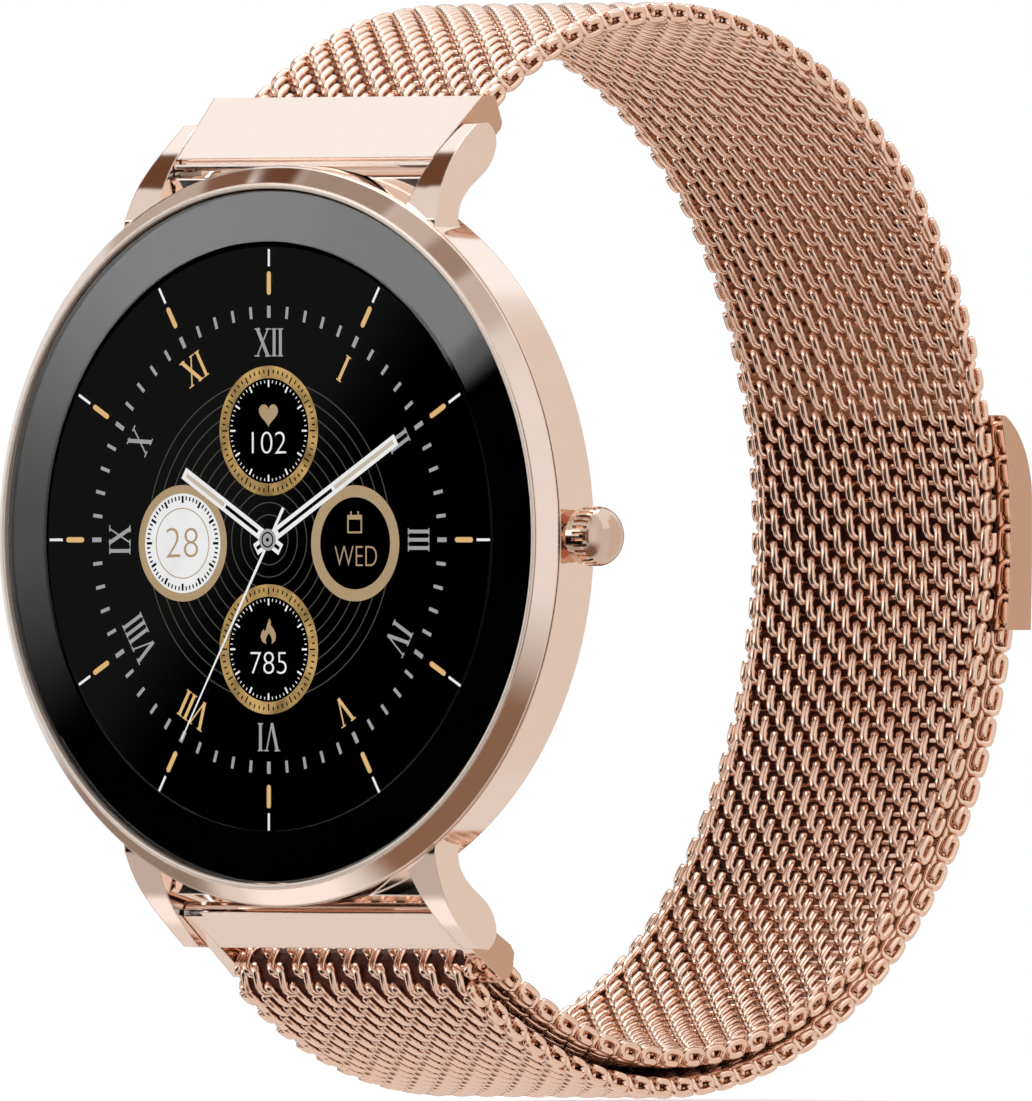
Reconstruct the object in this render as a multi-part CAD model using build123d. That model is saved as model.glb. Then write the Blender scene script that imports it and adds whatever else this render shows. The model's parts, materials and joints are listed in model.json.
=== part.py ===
from build123d import *
import math
import os

# Round smartwatch on a closed loop of woven wire mesh.
# The dial faces -Y, twelve o'clock is +Z and the crown points along +X.
# The origin is the centre of the sensor window on the case back, where the wrist touches.
# Every "depth" is a distance behind the face of the crystal.

# ---- driving dimensions (mm) ----
CASE_DEPTH = 9.0
CASE_R = 21.1
CRYSTAL_R = 19.6
CRYSTAL_THICK = 1.1
SEAM_DEPTH = 1.1
CASE_SIDE_END = 4.0
REBATE_R = 20.1
REBATE_DEPTH = 1.65
CAVITY_R = 18.0
CAVITY_BACK_R = 16.3
BACK_SEAT_DEPTH = 7.0
BACK_COVER_R = 17.3
BACK_COVER_THICK = 0.6
BACK_RAISED_R = 14.5
BACK_RAISED_DEPTH = 8.3
WINDOW_R = 6.5
DISPLAY_R = 17.2
DISPLAY_THICK = 0.8
FRAME_DEPTH = 2.05
FRAME_THICK = 0.65
BATTERY_DEPTH = 2.85
BATTERY_THICK = 2.6
BOARD_DEPTH = 5.55
BOARD_THICK = 0.5
BOARD_R = 15.4
SCREW_CIRCLE_R = 15.5
MOTOR_PLACE = (-6.0, -9.5)
RUNNING_GAP = 0.03
POLE_FLAT = 0.03

CROWN_DEPTH = 2.6
CROWN_R = 1.7
CROWN_START = 21.8
CROWN_STRAIGHT = 0.75
CROWN_DOME = 1.36
CROWN_TEETH = 30
CLIP_X = 17.6
STEM_END = 17.0
STEM_R = 0.45

LUG_GAP_HALF = 9.66
LINK_HALF = 9.58
LUG_SPREAD = 0.135
LUG_HOLE_R = 0.38
BAR_DEPTH = 4.8
BAR_HEIGHT = 21.5
BAR_R = 0.5
PIN_R = 0.35
PIN_TIP_X = 10.5
RELEASE_TRAVEL = 0.9
LEVER_X = -9.3
LEVER_WIDTH = 0.4

MESH_HALF = 8.9
MESH_THICK = 1.3
CHEEK_INNER = 9.05
REAR_BAR_R = 0.45

# The mid-line of the band, seen from the crown side: one chain of tangent arcs, each given by
# its radius and its sweep in degrees. A negative sweep turns clockwise, the way the strap runs
# from twelve o'clock over the top, down the back and forward along the bottom. The fold round
# the bar of the lower link turns back the other way, and the tail lies outside the strap.
BAND_START = (7.45, 23.08)
BAND_HEADING = 41.65
STRAP_ARCS = [(27.1, -52.6), (28.2, -55.2), (32.1, -64.3), (26.1, -88.4)]
FOLD_ARC = (1.2, 182.7)
TAIL_ARCS = [(29.0, 58.5), (29.75, 26.3), (32.4, 40.8)]

# The depths where the two halves of the band hinge, and the heights of the cut and the peel.
BEND_DEPTH = (20.0, 46.0)
CUT_HEIGHT = 0.3
KNUCKLE_GAP = 0.12
BAND_GAP = 0.5
PEEL_HEIGHT = (-19.0, -11.0)

CLASP_HALF = 9.5
CLASP_BOTTOM = -5.4
CLASP_TOP = 7.0
CLASP_OUTER = 56.65
CLASP_WALL = 0.22

os.makedirs("parts", exist_ok=True)


# ---- helpers ----
def at_depth(depth):
    """The Y coordinate of a depth behind the crystal's face."""
    return depth - CASE_DEPTH


def turned(*points):
    """A solid turned round the dial's axis from (radius, depth) corners."""
    outline = Polyline(*[(r, at_depth(d)) for r, d in points], close=True)
    return revolve(make_face(outline), Axis.Y, 360)


def disc(radius, depth, thickness, x=0.0, z=0.0):
    """A round plate that faces the dial, with its front at the given depth."""
    middle = at_depth(depth + thickness / 2)
    return Pos(x, middle, z) * Rot(90, 0, 0) * Cylinder(radius, thickness)


def plate(width, height, depth, thickness, x=0.0, z=0.0):
    """A rectangular block that faces the dial, with its front at the given depth."""
    return Pos(x, at_depth(depth + thickness / 2), z) * Box(width, thickness, height)


def rod(radius, x_from, x_to, depth, z):
    """A round bar along X."""
    middle = ((x_from + x_to) / 2, at_depth(depth), z)
    return Pos(*middle) * Rot(0, 90, 0) * Cylinder(radius, abs(x_to - x_from))


def side_prism(outline, x_from, x_to):
    """A (depth, height) outline in the side view, extruded from one X to another."""
    face = make_face(outline)
    start = Plane(origin=(x_from, at_depth(0), 0), x_dir=(0, 1, 0), z_dir=(1, 0, 0))
    return extrude(start * face, amount=x_to - x_from)


def side_polygon(points, x_from, x_to):
    return side_prism(Polyline(*points, close=True), x_from, x_to)


def keep(node, shape):
    export_step(shape, f"parts/{node}.step")


# ---- the band's mid-line ----
def arc_step(place, radius, sweep):
    """Move a (depth, height, heading) place along an arc; the sweep's sign is its direction."""
    depth, height, heading = place
    side = math.copysign(radius, sweep)
    start = math.radians(heading)
    end = math.radians(heading + sweep)
    depth += side * (math.sin(end) - math.sin(start))
    height -= side * (math.cos(end) - math.cos(start))
    return (depth, height, heading + sweep)


def path_place(arcs, distance):
    """The place at a distance along the chain of arcs."""
    place = (*BAND_START, BAND_HEADING)
    for radius, sweep in arcs:
        length = radius * math.radians(abs(sweep))
        if distance <= length:
            return arc_step(place, radius, sweep * distance / length)
        distance -= length
        place = arc_step(place, radius, sweep)
    return place


def path_length(arcs):
    return sum(radius * math.radians(abs(sweep)) for radius, sweep in arcs)


BAND_ARCS = [*STRAP_ARCS, FOLD_ARC, *TAIL_ARCS]
STRAP_LENGTH = path_length(STRAP_ARCS)
FOLD_END = STRAP_LENGTH + path_length([FOLD_ARC])
BAND_LENGTH = path_length(BAND_ARCS)


def find_distance(test, low, high):
    """The distance between low and high where test(place) changes from negative to positive."""
    for _ in range(60):
        middle = (low + high) / 2
        if test(path_place(BAND_ARCS, middle)) < 0:
            low = middle
        else:
            high = middle
    return (low + high) / 2


def offset_point(distance, offset):
    """A point beside the mid-line; a positive offset is to the left of its heading."""
    depth, height, heading = path_place(BAND_ARCS, distance)
    turn = math.radians(heading)
    return (depth - offset * math.sin(turn), height + offset * math.cos(turn))


def band_joints(start, end):
    """The distances from start to end where one arc of the mid-line gives way to the next."""
    marks = [start]
    travelled = 0.0
    for radius, sweep in BAND_ARCS:
        travelled += radius * math.radians(abs(sweep))
        if start + 0.01 < travelled < end - 0.01:
            marks.append(travelled)
    marks.append(end)
    return marks


def band_edge(start, end, offset):
    """The arcs of one parallel of the mid-line."""
    marks = band_joints(start, end)
    arcs = []
    for a, b in zip(marks, marks[1:]):
        arcs.append(ThreePointArc(*[offset_point(s, offset) for s in (a, (a + b) / 2, b)]))
    return arcs


def mesh_strip(start, end, play=0.0):
    """A length of mesh: the strip between two parallels of the mid-line."""
    half = MESH_THICK / 2 + play
    edges = band_edge(start, end, half) + band_edge(start, end, -half)
    for s in (start, end):
        edges.append(Line(offset_point(s, half), offset_point(s, -half)))
    return side_prism(edges, -MESH_HALF - play, MESH_HALF + play)


def band_rod(distance, radius, half_length):
    depth, height, _ = path_place(BAND_ARCS, distance)
    return rod(radius, -half_length, half_length, depth, height)


def round_end(strip, distance):
    """Give a strip the round knuckle that turns in its neighbour's hollow."""
    return strip + band_rod(distance, MESH_THICK / 2, MESH_HALF)


def hollow_end(strip, distance):
    """Hollow the end of a strip so that its neighbour's knuckle turns in it."""
    return strip - band_rod(distance, MESH_THICK / 2 + KNUCKLE_GAP, MESH_HALF + 1)


# ---- case, bezel and crystal ----
def lug_profile():
    """The side of one lug: a slim blade that leaves the case low and hooks back at its tip."""
    front = Spline((1.15, 18.0), (1.9, 19.7), (3.6, 21.8), (5.6, 23.45))
    tip = Line((5.6, 23.45), (6.6, 23.5))
    back = Spline((6.6, 23.5), (7.3, 22.5), (6.5, 21.1), (4.8, 20.0), (3.5, 18.8), (3.2, 17.8))
    root = Polyline((3.2, 17.8), (3.8, 16.4), (1.15, 16.4), (1.15, 18.0))
    return [front, tip, back, root]


def lug_gap(height):
    """Half the gap between two lugs, which spreads a little towards their tips."""
    return LUG_GAP_HALF + LUG_SPREAD * (height - 21.3)


def lug():
    """One lug at the upper crown side; its outer flank spreads where it meets the case."""
    blade = side_prism(lug_profile(), 8.0, 13.0)
    edge = Spline((12.1, 16.0), (11.65, 18.0), (11.4, 20.0), (11.05, 22.0), (11.1, 24.0))
    plan = [edge, Polyline((11.1, 24.0), (lug_gap(24), 24.0), (lug_gap(16), 16.0), (12.1, 16.0))]
    flank = extrude(Plane.XZ * make_face(plan), amount=10, both=True)
    hole = rod(LUG_HOLE_R, 8.0, PIN_TIP_X + 0.1, BAR_DEPTH, BAR_HEIGHT)
    return (blade & flank) - hole


def lug_web():
    """The bridge between two lugs, hollowed on its dial side to make room for the end link."""
    hollow = [(2.88, 20.45), (3.4, 19.95), (4.2, 19.75), (4.9, 19.85), (5.4, 20.2), (6.05, 20.75)]
    back = [(6.3, 20.88), (6.52, 20.78), (6.4, 20.0), (6.0, 19.4), (5.5, 18.6), (5.2, 17.5), (5.2, 16.5)]
    return side_polygon([(2.88, 16.5), *hollow, *back], -9.3, 9.3)


def link_room():
    """The space cleared in the rim of the case for the lip of the end link."""
    outline = [(2.88, 23.0), (2.88, 20.45), (3.4, 19.95), (4.2, 19.75), (4.9, 19.85), (6.2, 19.9), (7.0, 23.0)]
    return side_polygon(outline, -9.3, 9.3)


def make_mid_case():
    shell = turned(
        (0, SEAM_DEPTH),
        (CASE_R, SEAM_DEPTH),
        (CASE_R, CASE_SIDE_END),
        (20.4, 4.65),
        (19.0, 5.9),
        (17.85, 7.6),
        (0, 7.6),
    )
    room = link_room()
    web = lug_web()
    right = lug()
    left = mirror(right, Plane.YZ)
    shell = shell - room - mirror(room, Plane.XY)
    for one in (web, right, left):
        shell = shell + one + mirror(one, Plane.XY)
    hollow = turned(
        (0, 0),
        (REBATE_R, 0),
        (REBATE_R, REBATE_DEPTH),
        (CAVITY_R, REBATE_DEPTH),
        (CAVITY_R, 4.4),
        (CAVITY_BACK_R, 6.2),
        (CAVITY_BACK_R, BACK_SEAT_DEPTH),
        (BACK_COVER_R + 0.05, BACK_SEAT_DEPTH),
        (BACK_COVER_R + 0.05, CASE_DEPTH),
        (0, CASE_DEPTH),
    )
    crown_hole = rod(0.8, 15.0, 25.0, CROWN_DEPTH, 0)
    return shell - hollow - crown_hole


def make_bezel_ring():
    """The bright ring that holds the crystal: a narrow lip, then a chamfer down to the seam."""
    return turned(
        (CRYSTAL_R + 0.05, 0.02),
        (CRYSTAL_R + 0.12, -0.05),
        (CRYSTAL_R + 0.34, -0.05),
        (CRYSTAL_R + 0.42, 0.0),
        (CASE_R, SEAM_DEPTH - 0.04),
        (CASE_R - 0.02, SEAM_DEPTH),
        (REBATE_R - 0.03, SEAM_DEPTH),
        (REBATE_R - 0.03, REBATE_DEPTH),
        (18.3, REBATE_DEPTH),
        (18.3, 1.25),
        (CRYSTAL_R + 0.05, 1.25),
    )


def make_crystal():
    edge = 0.12
    return turned(
        (0, 0),
        (CRYSTAL_R - edge, 0),
        (CRYSTAL_R, edge),
        (CRYSTAL_R, CRYSTAL_THICK),
        (0, CRYSTAL_THICK),
    )


def ring(outer, inner, depth, thickness):
    return disc(outer, depth, thickness) - disc(inner, depth - 1, thickness + 2)


# ---- inside the case ----
def screw_places():
    for k in range(4):
        turn = math.radians(45 + 90 * k)
        yield (SCREW_CIRCLE_R * math.cos(turn), SCREW_CIRCLE_R * math.sin(turn))


def make_inner_frame():
    """The tray behind the display, with a post for each case screw."""
    tray = disc(CAVITY_R - 0.06, FRAME_DEPTH, FRAME_THICK)
    tray -= plate(5.0, 4.0, FRAME_DEPTH - 1, 3.0, x=17.0)
    tray -= plate(7.0, 0.9, FRAME_DEPTH - 1, 3.0, z=-15.2)
    for x, z in screw_places():
        post = disc(0.95, FRAME_DEPTH, BACK_SEAT_DEPTH - 0.05 - FRAME_DEPTH, x, z)
        hole = disc(0.4, 4.5, 3.0, x, z)
        limit = turned((0, 0), (CAVITY_R - 0.1, 0), (CAVITY_R - 0.1, 4.4), (CAVITY_BACK_R - 0.1, 6.2),
                       (CAVITY_BACK_R - 0.1, 8), (0, 8))
        tray += (post & limit) - hole
        tray -= hole
    return tray


def make_main_board():
    board = disc(BOARD_R, BOARD_DEPTH, BOARD_THICK)
    for x, z in screw_places():
        board -= disc(1.15, BOARD_DEPTH - 1, BOARD_THICK + 2, x, z)
    return board


def make_board_chips():
    spots = [(-8.0, 3.0, 2.6, 2.2), (7.6, 4.4, 2.2, 3.0), (8.5, -2.2, 1.8, 1.4), (-8.8, -1.0, 1.6, 1.2)]
    depth = BOARD_DEPTH + BOARD_THICK
    return Compound([plate(w, h, depth, 0.45, x, z) for x, z, w, h in spots])


def make_display_flex():
    """The ribbon that drops from the display's foot through the tray to the main board."""
    width = 5.0
    thick = 0.12
    z = -15.2
    behind = SEAM_DEPTH + 0.02 + DISPLAY_THICK
    down = plate(width, thick, behind, BOARD_DEPTH - behind, z=z)
    foot = plate(width, 1.6, BOARD_DEPTH - thick, thick, z=z + 0.8 - thick / 2)
    return down + foot


def make_motor_can():
    x, z = MOTOR_PLACE
    can = disc(3.5, BATTERY_DEPTH, BATTERY_THICK, x, z)
    can -= disc(3.3, BATTERY_DEPTH + 0.2, BATTERY_THICK - 0.4, x, z)
    return can


def make_motor_rotor():
    x, z = MOTOR_PLACE
    depth = BATTERY_DEPTH + 0.5
    weight = disc(3.1, depth, 1.4, x, z)
    weight -= plate(8, 4, depth - 1, 4, x=x, z=z + 2.5)
    hub = disc(0.9, depth, 1.4, x, z)
    return weight + hub - disc(0.3 + RUNNING_GAP, depth - 1, 4, x, z)


def make_motor_shaft():
    x, z = MOTOR_PLACE
    return disc(0.3, BATTERY_DEPTH + 0.2, BATTERY_THICK - 0.4, x, z)


def make_back_cover():
    body = turned(
        (0, BACK_SEAT_DEPTH),
        (BACK_COVER_R, BACK_SEAT_DEPTH),
        (BACK_COVER_R, BACK_SEAT_DEPTH + BACK_COVER_THICK),
        (BACK_RAISED_R + 0.7, BACK_SEAT_DEPTH + BACK_COVER_THICK),
        (BACK_RAISED_R, BACK_RAISED_DEPTH),
        (0, BACK_RAISED_DEPTH),
    )
    body -= disc(5.9, 6, 4)
    body -= disc(WINDOW_R + 0.03, 7.9, 4)
    body -= ring(17.0, 16.5, BACK_SEAT_DEPTH - 1, 1.2)
    for x, z in screw_places():
        body -= disc(0.55, 6, 4, x, z)
        body -= disc(0.92, BACK_SEAT_DEPTH + 0.3, 2, x, z)
    for x, z in contact_places():
        body -= disc(0.95, 6, 4, x, z)
    for x, z in magnet_places():
        body -= disc(1.55, 6, 2.0, x, z)
    return body


def contact_places():
    return [(-1.6, -10.0), (1.6, -10.0)]


def magnet_places():
    return [(-6.5, -9.0), (6.5, -9.0)]


def make_sensor_window():
    """The clear dome over the sensors, which rests on the wrist."""
    front = at_depth(7.92)
    rim = at_depth(8.35)
    middle = at_depth(8.84)
    outline = [
        Polyline((0, 0), (0, front), (WINDOW_R, front), (WINDOW_R, rim)),
        ThreePointArc((WINDOW_R, rim), (WINDOW_R / 2, middle), (POLE_FLAT, 0)),
        Line((POLE_FLAT, 0), (0, 0)),
    ]
    return revolve(make_face(outline), Axis.Y, 360)


def make_case_screws():
    screws = []
    for x, z in screw_places():
        head = disc(0.88, BACK_SEAT_DEPTH + 0.3, 0.35, x, z)
        head -= plate(1.3, 0.22, BACK_SEAT_DEPTH + 0.5, 0.3, x, z)
        screws.append(head + disc(0.38, 5.0, BACK_SEAT_DEPTH + 0.3 - 5.0, x, z))
    return Compound(screws)


def make_sensor_leds():
    spots = [(0, 0), (2.4, 0), (-2.4, 0), (0, 2.4), (0, -2.4)]
    return Compound([plate(1.1, 1.1, 7.4, 0.35, x, z) for x, z in spots])


# ---- crown ----
def make_crown_cap():
    """The knurled knob: straight teeth that run out on a polished dome."""
    straight_end = CROWN_START + CROWN_STRAIGHT
    bevel = 0.12
    tip = straight_end + CROWN_DOME
    straight = Polyline(
        (tip, POLE_FLAT),
        (tip, 0),
        (CROWN_START, 0),
        (CROWN_START, CROWN_R - bevel),
        (CROWN_START + bevel, CROWN_R),
        (straight_end, CROWN_R),
    )
    dome = Spline(
        (straight_end, CROWN_R),
        (straight_end + CROWN_DOME * 0.5, CROWN_R * 0.866),
        (straight_end + CROWN_DOME * 0.866, CROWN_R * 0.5),
        (tip, POLE_FLAT),
        tangents=((1, 0), (0, -1)),
    )
    knob = revolve(make_face([straight, dome]), Axis.X, 360)
    notch = Polyline((CROWN_R - 0.16, 0), (CROWN_R + 0.1, 0.13), (CROWN_R + 0.1, -0.13), close=True)
    cutter = Pos(CROWN_START - 0.5, 0, 0) * extrude(Plane.YZ * make_face(notch), amount=3)
    for k in range(CROWN_TEETH):
        knob -= Rot(360 / CROWN_TEETH * k, 0, 0) * cutter
    knob = Pos(0, at_depth(CROWN_DEPTH), 0) * knob
    knob -= rod(1.2, CROWN_START - 1, straight_end, CROWN_DEPTH, 0)
    return knob - rod(STEM_R, CROWN_START, straight_end + 0.7, CROWN_DEPTH, 0)


def make_crown_stem():
    stem = rod(STEM_R, STEM_END, CROWN_START + CROWN_STRAIGHT + 0.7, CROWN_DEPTH, 0)
    groove = rod(STEM_R + 1, CLIP_X - 0.02, CLIP_X + 0.32, CROWN_DEPTH, 0)
    groove -= rod(STEM_R - 0.12, CLIP_X - 1, CLIP_X + 1, CROWN_DEPTH, 0)
    seal_groove = rod(STEM_R + 1, 20.0, 20.5, CROWN_DEPTH, 0)
    seal_groove -= rod(STEM_R - 0.12, 19, 21, CROWN_DEPTH, 0)
    return stem - groove - seal_groove


def make_crown_tube():
    tube = rod(0.78, CAVITY_R + 0.1, 22.05, CROWN_DEPTH, 0)
    return tube - rod(STEM_R + RUNNING_GAP, 15, 25, CROWN_DEPTH, 0)


def make_crown_seal():
    outer = rod(STEM_R, 20.05, 20.45, CROWN_DEPTH, 0)
    return outer - rod(STEM_R - 0.12, 19, 21, CROWN_DEPTH, 0)


def make_crown_clip():
    """The split washer that keeps the stem in its tube; it slides with the stem, without turning."""
    washer = rod(0.75, CLIP_X, CLIP_X + 0.3, CROWN_DEPTH, 0)
    washer -= rod(STEM_R - 0.12 + RUNNING_GAP, CLIP_X - 1, CLIP_X + 1, CROWN_DEPTH, 0)
    return washer - Pos(CLIP_X, at_depth(CROWN_DEPTH), 0.6) * Box(2, 0.5, 1.2)


def make_crown_switch():
    body = Pos(15.55, at_depth(CROWN_DEPTH), 0) * Box(1.3, 1.0, 2.2)
    button = rod(0.35, 16.15, 16.5, CROWN_DEPTH, 0)
    return body + button


# ---- spring bars ----
def bar_rod(radius, x_from, x_to, side):
    return rod(radius, x_from, x_to, BAR_DEPTH, side * BAR_HEIGHT)


def lever_slot(side):
    """The slot that the quick-release lever runs in, through the tube and the link."""
    first = LEVER_X - LEVER_WIDTH / 2 - 0.1
    last = LEVER_X + LEVER_WIDTH / 2 + RELEASE_TRAVEL + 0.05
    if side > 0:
        return side_polygon([(4.4, 21.5), (4.4, 20.0), (5.0, 20.0), (5.0, 21.5)], first - 1, last)
    return side_polygon([(3.0, -21.33), (4.8, -21.33), (4.8, -21.68), (3.0, -21.68)], first - 1, last)


def make_bar_tube(side):
    tube = bar_rod(BAR_R, -9.5, 9.5, side) - bar_rod(PIN_R + RUNNING_GAP, -12, 12, side)
    return tube - lever_slot(side)


def make_fixed_pin(side):
    return bar_rod(PIN_R, 8.4, PIN_TIP_X, side)


def make_release_pin(side):
    """The sprung pin with its thumb lever: below the upper link, in a notch of the lower one."""
    pin = bar_rod(PIN_R, -PIN_TIP_X, -5.4, side)
    half = LEVER_WIDTH / 2
    if side > 0:
        outline = [(4.5, 21.5), (4.9, 21.5), (4.9, 20.56), (3.15, 20.5), (3.0, 20.62), (3.12, 20.78), (4.5, 20.78)]
    else:
        outline = [(4.8, -21.37), (4.8, -21.64), (3.85, -21.64), (3.85, -21.37)]
    return pin + side_polygon(outline, LEVER_X - half, LEVER_X + half)


def make_bar_spring(side):
    return bar_rod(PIN_R - 0.02, -5.4, 8.4, side) - bar_rod(PIN_R - 0.14, -12, 12, side)


# ---- end links ----
def link_taper(side, low, high):
    """The plan of an end link: it widens a little from the bar towards the strap."""
    wide = LINK_HALF + LUG_SPREAD * (high - 21.3)
    narrow = LINK_HALF + LUG_SPREAD * (low - 21.3)
    corners = [(-narrow, side * low), (narrow, side * low), (wide, side * high), (-wide, side * high)]
    plan = make_face(Polyline(*corners, close=True))
    return extrude(Plane.XZ * plan, amount=20, both=True)


def make_upper_end_link():
    """The bright wedge above the dial, with a slot in its back that holds the strap's end."""
    wedge = side_polygon(
        [
            (3.3, 21.5),
            (7.15, 25.05),
            (8.28, 25.05),
            (9.12, 23.55),
            (9.05, 23.2),
            (8.5, 22.65),
            (6.9, 21.7),
            (5.9, 20.95),
            (5.6, 20.87),
            (3.25, 20.85),
            (3.05, 20.95),
            (3.02, 21.12),
            (3.15, 21.22),
            (3.72, 21.26),
            (3.72, 21.42),
        ],
        -12,
        12,
    )
    wedge = wedge & link_taper(1, 20.5, 25.5)
    wedge -= bar_rod(BAR_R + RUNNING_GAP, -12, 12, 1)
    return wedge - mesh_strip(0.0, 4.0, play=0.02) - lever_slot(1)


def make_lower_end_link():
    """The open frame below the dial: front plate, two cheeks and a rear bar the mesh folds round."""
    plate_part = side_polygon(
        [
            (3.6, -21.45),
            (6.5, -23.5),
            (7.1, -22.8),
            (6.25, -21.8),
            (5.75, -21.1),
            (5.45, -20.9),
            (4.4, -20.85),
            (4.05, -21.05),
            (3.98, -21.28),
        ],
        -12,
        12,
    )
    cheek_outline = [
        (3.6, -21.45),
        (8.85, -25.2),
        (9.4, -25.15),
        (9.85, -24.7),
        (10.15, -23.7),
        (9.9, -23.25),
        (8.5, -22.4),
        (6.2, -21.45),
        (5.75, -21.1),
        (5.0, -20.9),
    ]
    cheeks = side_polygon(cheek_outline, CHEEK_INNER, 12) + side_polygon(cheek_outline, -12, -CHEEK_INNER)
    depth, height = fold_centre()
    frame = plate_part + cheeks + rod(REAR_BAR_R, -LINK_HALF, LINK_HALF, depth, height)
    frame = frame & link_taper(-1, 20.5, 25.5)
    frame -= bar_rod(BAR_R + RUNNING_GAP, -12, 12, -1)
    return frame - lever_slot(-1)


def fold_centre():
    depth, height, heading = path_place(BAND_ARCS, STRAP_LENGTH)
    turn = math.radians(heading)
    return (depth - FOLD_ARC[0] * math.sin(turn), height + FOLD_ARC[0] * math.cos(turn))


# ---- clasp ----
def clasp_face(height):
    """The depth of the clasp's inner face, which runs parallel to the strap."""
    depth, height_end, heading = path_place(BAND_ARCS, BAND_LENGTH)
    radius = BAND_ARCS[-1][0]
    turn = math.radians(heading)
    centre_depth = depth - radius * math.sin(turn)
    centre_height = height_end + radius * math.cos(turn)
    inner = radius - MESH_THICK / 2 - CLASP_WALL
    return centre_depth + math.sqrt(inner**2 - (height - centre_height) ** 2)


def make_clasp_shell():
    """The magnetic tab: a sleeve round the tail's end with a rolled upper lip."""
    middle = (CLASP_BOTTOM + CLASP_TOP) / 2
    low, centre, high = [(clasp_face(z), z) for z in (CLASP_BOTTOM, middle, CLASP_TOP)]
    outline = [
        ThreePointArc(low, centre, high),
        Line(high, (high[0] + 0.25, high[1] - 0.03)),
        Spline(
            (high[0] + 0.25, high[1] - 0.03),
            (CLASP_OUTER - 1.2, 5.9),
            (CLASP_OUTER - 0.4, 4.4),
            (CLASP_OUTER, 2.4),
        ),
        Polyline((CLASP_OUTER, 2.4), (CLASP_OUTER, -1.5), (CLASP_OUTER - 0.12, CLASP_BOTTOM), low),
    ]
    shell = side_prism(outline, -CLASP_HALF, CLASP_HALF)
    return shell - mesh_strip(BAND_LENGTH - 7, BAND_LENGTH, play=0.03) - magnet_block(0.03)


def magnet_block(play):
    """The bar magnet that lies in the thick part of the tab, beyond the end of the mesh."""
    middle = Pos(0, at_depth(55.35), 2.2)
    return middle * Box(16.0 + 2 * play, 1.3 + 2 * play, 2.8 + 2 * play)


# ---- build and export ----
def case_nodes():
    keep("mid_case", make_mid_case())
    keep("bezel_ring", make_bezel_ring())
    keep("crystal", make_crystal())
    keep("crystal_gasket", ring(19.5, 18.8, CRYSTAL_THICK + 0.01, 0.13))
    keep("display_panel", disc(DISPLAY_R, SEAM_DEPTH + 0.02, DISPLAY_THICK))
    keep("display_flex", make_display_flex())
    keep("inner_frame", make_inner_frame())
    keep("battery", plate(19.6, 14.6, BATTERY_DEPTH, BATTERY_THICK, z=2.6))
    keep("main_board", make_main_board())
    keep("board_chips", make_board_chips())
    keep("processor_shield", plate(7.0, 7.0, BOARD_DEPTH + BOARD_THICK, 0.7, z=9.0))
    keep("motor_can", make_motor_can())
    keep("motor_shaft", make_motor_shaft())
    keep("motor_rotor", make_motor_rotor())
    keep("back_cover", make_back_cover())
    keep("back_gasket", ring(16.95, 16.55, BACK_SEAT_DEPTH, 0.19))
    keep("case_screws", make_case_screws())
    keep("sensor_window", make_sensor_window())
    keep("sensor_board", disc(5.6, 6.95, 0.4))
    keep("sensor_leds", make_sensor_leds())
    keep("charging_contacts", Compound([disc(0.9, 6.6, 1.75, x, z) for x, z in contact_places()]))
    keep("charging_magnets", Compound([disc(1.5, 7.0, 0.95, x, z) for x, z in magnet_places()]))


def crown_nodes():
    keep("crown_tube", make_crown_tube())
    keep("crown_cap", make_crown_cap())
    keep("crown_stem", make_crown_stem())
    keep("crown_seal", make_crown_seal())
    keep("crown_clip", make_crown_clip())
    keep("crown_switch", make_crown_switch())


def link_nodes():
    keep("upper_end_link", make_upper_end_link())
    keep("lower_end_link", make_lower_end_link())
    for name, side in (("upper", 1), ("lower", -1)):
        keep(f"{name}_bar_tube", make_bar_tube(side))
        keep(f"{name}_fixed_pin", make_fixed_pin(side))
        keep(f"{name}_release_pin", make_release_pin(side))
        keep(f"{name}_bar_spring", make_bar_spring(side))


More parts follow.
